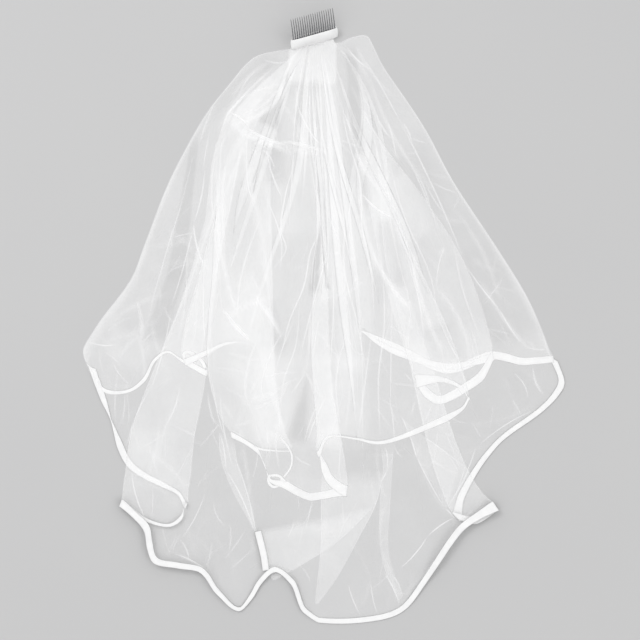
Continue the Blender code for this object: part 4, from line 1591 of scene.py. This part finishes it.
def close_ends(piece):
    """Caps a tube's open ends, and points its faces out."""
    bm = bmesh.new()
    bm.from_mesh(piece.data)
    bmesh.ops.holes_fill(bm, edges=[e for e in bm.edges if e.is_boundary], sides=0)
    bmesh.ops.recalc_face_normals(bm, faces=bm.faces)
    bm.to_mesh(piece.data)
    bm.free()


# Stitches
STITCH = 2.6
STITCH_GAP = 1.4
STITCH_RADIUS = 0.11
SEAM_ROLL = 46.0
SEAM_INSET = 0.62
SEAM_RAISED = 0.02


def make_stitches(name, lines, material):
    """Small raised stitches along lines of plan points, each a slim spindle."""
    mesh = bpy.data.meshes.new(name)
    vertices, faces = [], []
    for line in lines:
        lengths = np.linalg.norm(np.diff(line, axis=0), axis=1)
        places = np.concatenate([[0.0], np.cumsum(lengths)])
        for begin in np.arange(1.0, places[-1] - STITCH, STITCH + STITCH_GAP):
            ends = [
                np.array([np.interp(begin + d, places, line[:, axis]) for axis in range(3)])
                for d in (0.0, STITCH)
            ]
            way = ends[1] - ends[0]
            way /= max(np.linalg.norm(way), 1e-6)
            side = np.array([-way[1], way[0], 0.0])
            up = np.array([0.0, 0.0, 1.0])
            base = len(vertices)
            vertices.append(ends[0])
            for share in (0.3, 0.7):
                centre = mixed(ends[0], ends[1], share)
                for a, b in ((1, 0), (0, 1), (-1, 0), (0, -1)):
                    vertices.append(centre + (side * a + up * b) * STITCH_RADIUS)
            vertices.append(ends[1])
            for k in range(4):
                n = (k + 1) % 4
                faces.append((base, base + 1 + n, base + 1 + k))
                faces.append((base + 1 + k, base + 1 + n, base + 5 + n, base + 5 + k))
                faces.append((base + 5 + k, base + 5 + n, base + 9))
    mesh.from_pydata(to_world(np.array(vertices)).tolist(), [], faces)
    mesh.shade_smooth()
    mesh.materials.append(material)
    return put_in(name, mesh)


def ribbon_seam(folds, rolls, lift, seat):
    """The lines of stitches near the ribbon's inner edge, where it lies flat enough."""
    grid = ribbon_grid(folds, rolls, lift, seat)
    top = grid[RIBBON_SIDES // 4]
    inner = grid[RIBBON_SIDES // 2]
    line = mixed(top, inner, SEAM_INSET)
    line[:, 2] = top[:, 2] + SEAM_RAISED
    coarse, _ = sheet_rows(folds, lift, seat, np.linspace(0.0, 1.0, RAY_ROWS))
    places = fine_columns(coarse[-1, :, :2])
    angles = rolled(folds, rolls)
    roll = np.interp(places, np.arange(len(angles)), angles)
    flat = np.flatnonzero(roll < SEAM_ROLL)
    runs = np.split(flat, np.flatnonzero(np.diff(flat) > 1) + 1)
    return [line[run] for run in runs if len(run) > 3]


# Band
BAND_RINGS = 30
BAND_AROUND = 120
BAND_RUCHES = 17
BAND_RUCHE = 0.24
BAND_LINING = ((1.0, 0.7), (0.0, 1.1), (-1.0, 0.7))


def band_point(around, t, inset, ruche):
    """A point of the wrap: around its section, t across its width, set in by so much."""
    fullness = 1 - 0.3 * t * t
    across = math.copysign(abs(math.cos(around)) ** 0.4, math.cos(around))
    high = math.copysign(abs(math.sin(around)) ** 0.75, math.sin(around))
    half = BAND_LENGTH / 2 - BAND_HEIGHT / 2 * (1 - fullness) - inset
    radius = BAND_HEIGHT / 2 * fullness - inset
    place = across * half
    pucker = ruche * math.sin(
        2 * math.pi * BAND_RUCHES * place / BAND_LENGTH + 1.7 * math.sin(1.9 * t + place * 0.23)
    )
    pucker += 0.6 * ruche * math.sin(place * 0.61 + 2.2 * t)
    return tuple(in_comb(place, t * BAND_WIDTH / 2, high * (radius + pucker)))


def make_band(material):
    """The satin wrap, gathered across its length, round the spine and the gathers."""
    turns = [2 * math.pi * step / BAND_AROUND for step in range(BAND_AROUND)]
    rows = []
    for ring in range(BAND_RINGS):
        t = ring / (BAND_RINGS - 1) * 2 - 1
        ruche = BAND_RUCHE * (1 - 0.6 * abs(t) ** 5)
        rows.append([band_point(around, t, 0.3, ruche) for around in turns])
    for t, inset in BAND_LINING:
        rows.append([band_point(around, t * 0.97, inset, 0.0) for around in turns])
    rows.append(rows[0])
    return grid_object("satin_band_ruched", np.array(rows), material, closed=True)


def make_comb(material):
    """The comb, its teeth round and tapered, drawn out of a bar with softened edges."""
    bm = bmesh.new()
    bmesh.ops.create_cube(bm, size=1.0)
    bmesh.ops.scale(bm, vec=(SPINE_LENGTH, SPINE_WIDTH, SPINE_HEIGHT), verts=bm.verts)
    bmesh.ops.bevel(bm, geom=bm.edges[:], offset=SPINE_ROUND, segments=3, affect="EDGES")
    pitch = SPINE_LENGTH / (2 * TEETH - 1)
    for tooth in range(TEETH):
        x = (2 * tooth + 0.5) * pitch - SPINE_LENGTH / 2
        rings = []
        for step in range(TOOTH_RINGS):
            t = step / (TOOTH_RINGS - 1)
            along = SPINE_WIDTH / 2 - TOOTH_ROOT + (TOOTH_LENGTH + TOOTH_ROOT) * t
            rounding = 1 - 0.75 * eased(t, TOOTH_TIP_STARTS, 1.0)
            half_width = TOOTH_WIDTH / 2 * (1 - 0.5 * t**1.5) * rounding
            half_height = TOOTH_HEIGHT / 2 * (1 - 0.45 * t**1.5) * rounding
            curve = -TOOTH_CURVE * t**2.2
            ring = []
            for k in range(TOOTH_SIDES):
                angle = 2 * math.pi * k / TOOTH_SIDES
                out = curve + half_height * math.sin(angle)
                ring.append(bm.verts.new((x + half_width * math.cos(angle), along, out)))
            rings.append(ring)
        for first, second in zip(rings, rings[1:]):
            for k in range(TOOTH_SIDES):
                n = (k + 1) % TOOTH_SIDES
                bm.faces.new((first[k], first[n], second[n], second[k]))
        bm.faces.new(rings[0][::-1])
        bm.faces.new(rings[-1])
    bmesh.ops.recalc_face_normals(bm, faces=bm.faces)
    mesh = bpy.data.meshes.new("comb_clear")
    bm.to_mesh(mesh)
    bm.free()
    seat = in_comb(0.0, SPINE_SEAT, 0.0)
    mesh.transform(Matrix.Translation(seat) @ COMB_AXES.to_4x4())
    mesh.transform(Matrix.Translation((-ORIGIN[0], -ORIGIN[1], 0.0)))
    mesh.transform(Matrix.Scale(MM, 4))
    mesh.shade_smooth()
    mesh.materials.append(material)
    return put_in("comb_clear", mesh)


# Studio
VIEW_WIDTH = 0.8832
VIEW_CENTRE = (-9.5, -2.9)
CAMERA_HEIGHT = 3.4
SENSOR = 36.0
FLOOR_WIDTH = 8.0
FLOOR_LEVEL = -0.0005
ROOM_LIGHT = 0.8


def add_camera():
    camera = bpy.data.cameras.new("camera")
    camera.sensor_width = SENSOR
    camera.lens = SENSOR * CAMERA_HEIGHT / VIEW_WIDTH
    camera.clip_end = 20.0
    ob = put_in("camera", camera)
    ob.location = (VIEW_CENTRE[0] * MM, VIEW_CENTRE[1] * MM, CAMERA_HEIGHT)
    bpy.context.scene.camera = ob


def add_light(name, place, size, energy):
    lamp = bpy.data.lights.new(name, "AREA")
    lamp.shape = "DISK"
    lamp.size = size
    lamp.energy = energy
    ob = put_in(name, lamp)
    ob.location = place
    ob.rotation_euler = (-Vector(place)).to_track_quat("-Z", "Y").to_euler()


def add_floor():
    mesh = bpy.data.meshes.new("floor")
    half = FLOOR_WIDTH / 2
    mesh.from_pydata(
        [(x * half, y * half, FLOOR_LEVEL) for x, y in ((-1, -1), (1, -1), (1, 1), (-1, 1))],
        [],
        [(0, 1, 2, 3)],
    )
    paint = Paint("pale_floor")
    where, _ = paint.place()
    grain = paint.noise(where, 3.0, 2.0)
    mesh.materials.append(
        paint.finish(
            Base_Color=paint.tinted(grain, (0.56, 0.56, 0.565), (0.58, 0.58, 0.58)),
            Roughness=0.85,
        )
    )
    put_in("floor", mesh)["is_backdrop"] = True


def add_world():
    world = bpy.data.worlds.new("soft_room")
    world.use_nodes = True
    world.node_tree.nodes["Background"].inputs["Color"].default_value = (1.0, 1.0, 1.0, 1.0)
    world.node_tree.nodes["Background"].inputs["Strength"].default_value = ROOM_LIGHT
    bpy.context.scene.world = world


def main():
    net = white_net()
    satin = white_satin()
    thread = white_thread()
    plastic = clear_plastic()
    (lower, upper), trees = make_tiers(net)
    claimed(lower, "white_net", "tulle_lower_tier")
    claimed(upper, "white_net", "tulle_upper_tier")
    lower_turns = [turn_grid(trees[0], turn) for turn in SATIN_TURNS if turn.tier == "lower"]
    upper_turns = [turn_grid(trees[1], turn) for turn in SATIN_TURNS if turn.tier == "upper"]
    lower_edge = make_ribbon(
        "lower_satin_edge", LOWER_HEM, LOWER_ROLLS, 0.0, LOWER_SEAT, lower_turns, satin
    )
    upper_edge = make_ribbon(
        "upper_satin_edge", UPPER_HEM, UPPER_ROLLS, TIER_LIFT, UPPER_SEAT, upper_turns, satin
    )
    # The upper edge rests in soft net, where its shade is lost
    upper_edge.visible_shadow = False
    upper_edge.visible_diffuse = False
    claimed(lower_edge, "white_satin", "hem_ribbon_lower")
    claimed(upper_edge, "white_satin", "hem_ribbon_upper")
    seams = ribbon_seam(LOWER_HEM, LOWER_ROLLS, 0.0, LOWER_SEAT)
    seams += ribbon_seam(UPPER_HEM, UPPER_ROLLS, TIER_LIFT, UPPER_SEAT)
    claimed(make_stitches("hem_stitches", seams, thread), "white_satin")
    claimed(make_band(satin), "white_satin", "satin_band")
    comb = claimed(make_comb(plastic), "clear_comb_plastic", "comb")
    # Clear plastic passes its light on
    comb.visible_shadow = False
    add_floor()
    add_world()
    add_light("key", (-1.6, 1.4, 2.6), 1.6, 26.0)
    add_light("fill", (1.8, -1.2, 2.4), 2.0, 12.0)
    add_camera()
    bpy.context.scene.cycles.transparent_max_bounces = 48
    bpy.context.scene.view_settings.view_transform = "Standard"


main()

boxes = (CAD_BOX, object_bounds())
[[[float(c) for c in corner] for corner in box] for box in boxes]
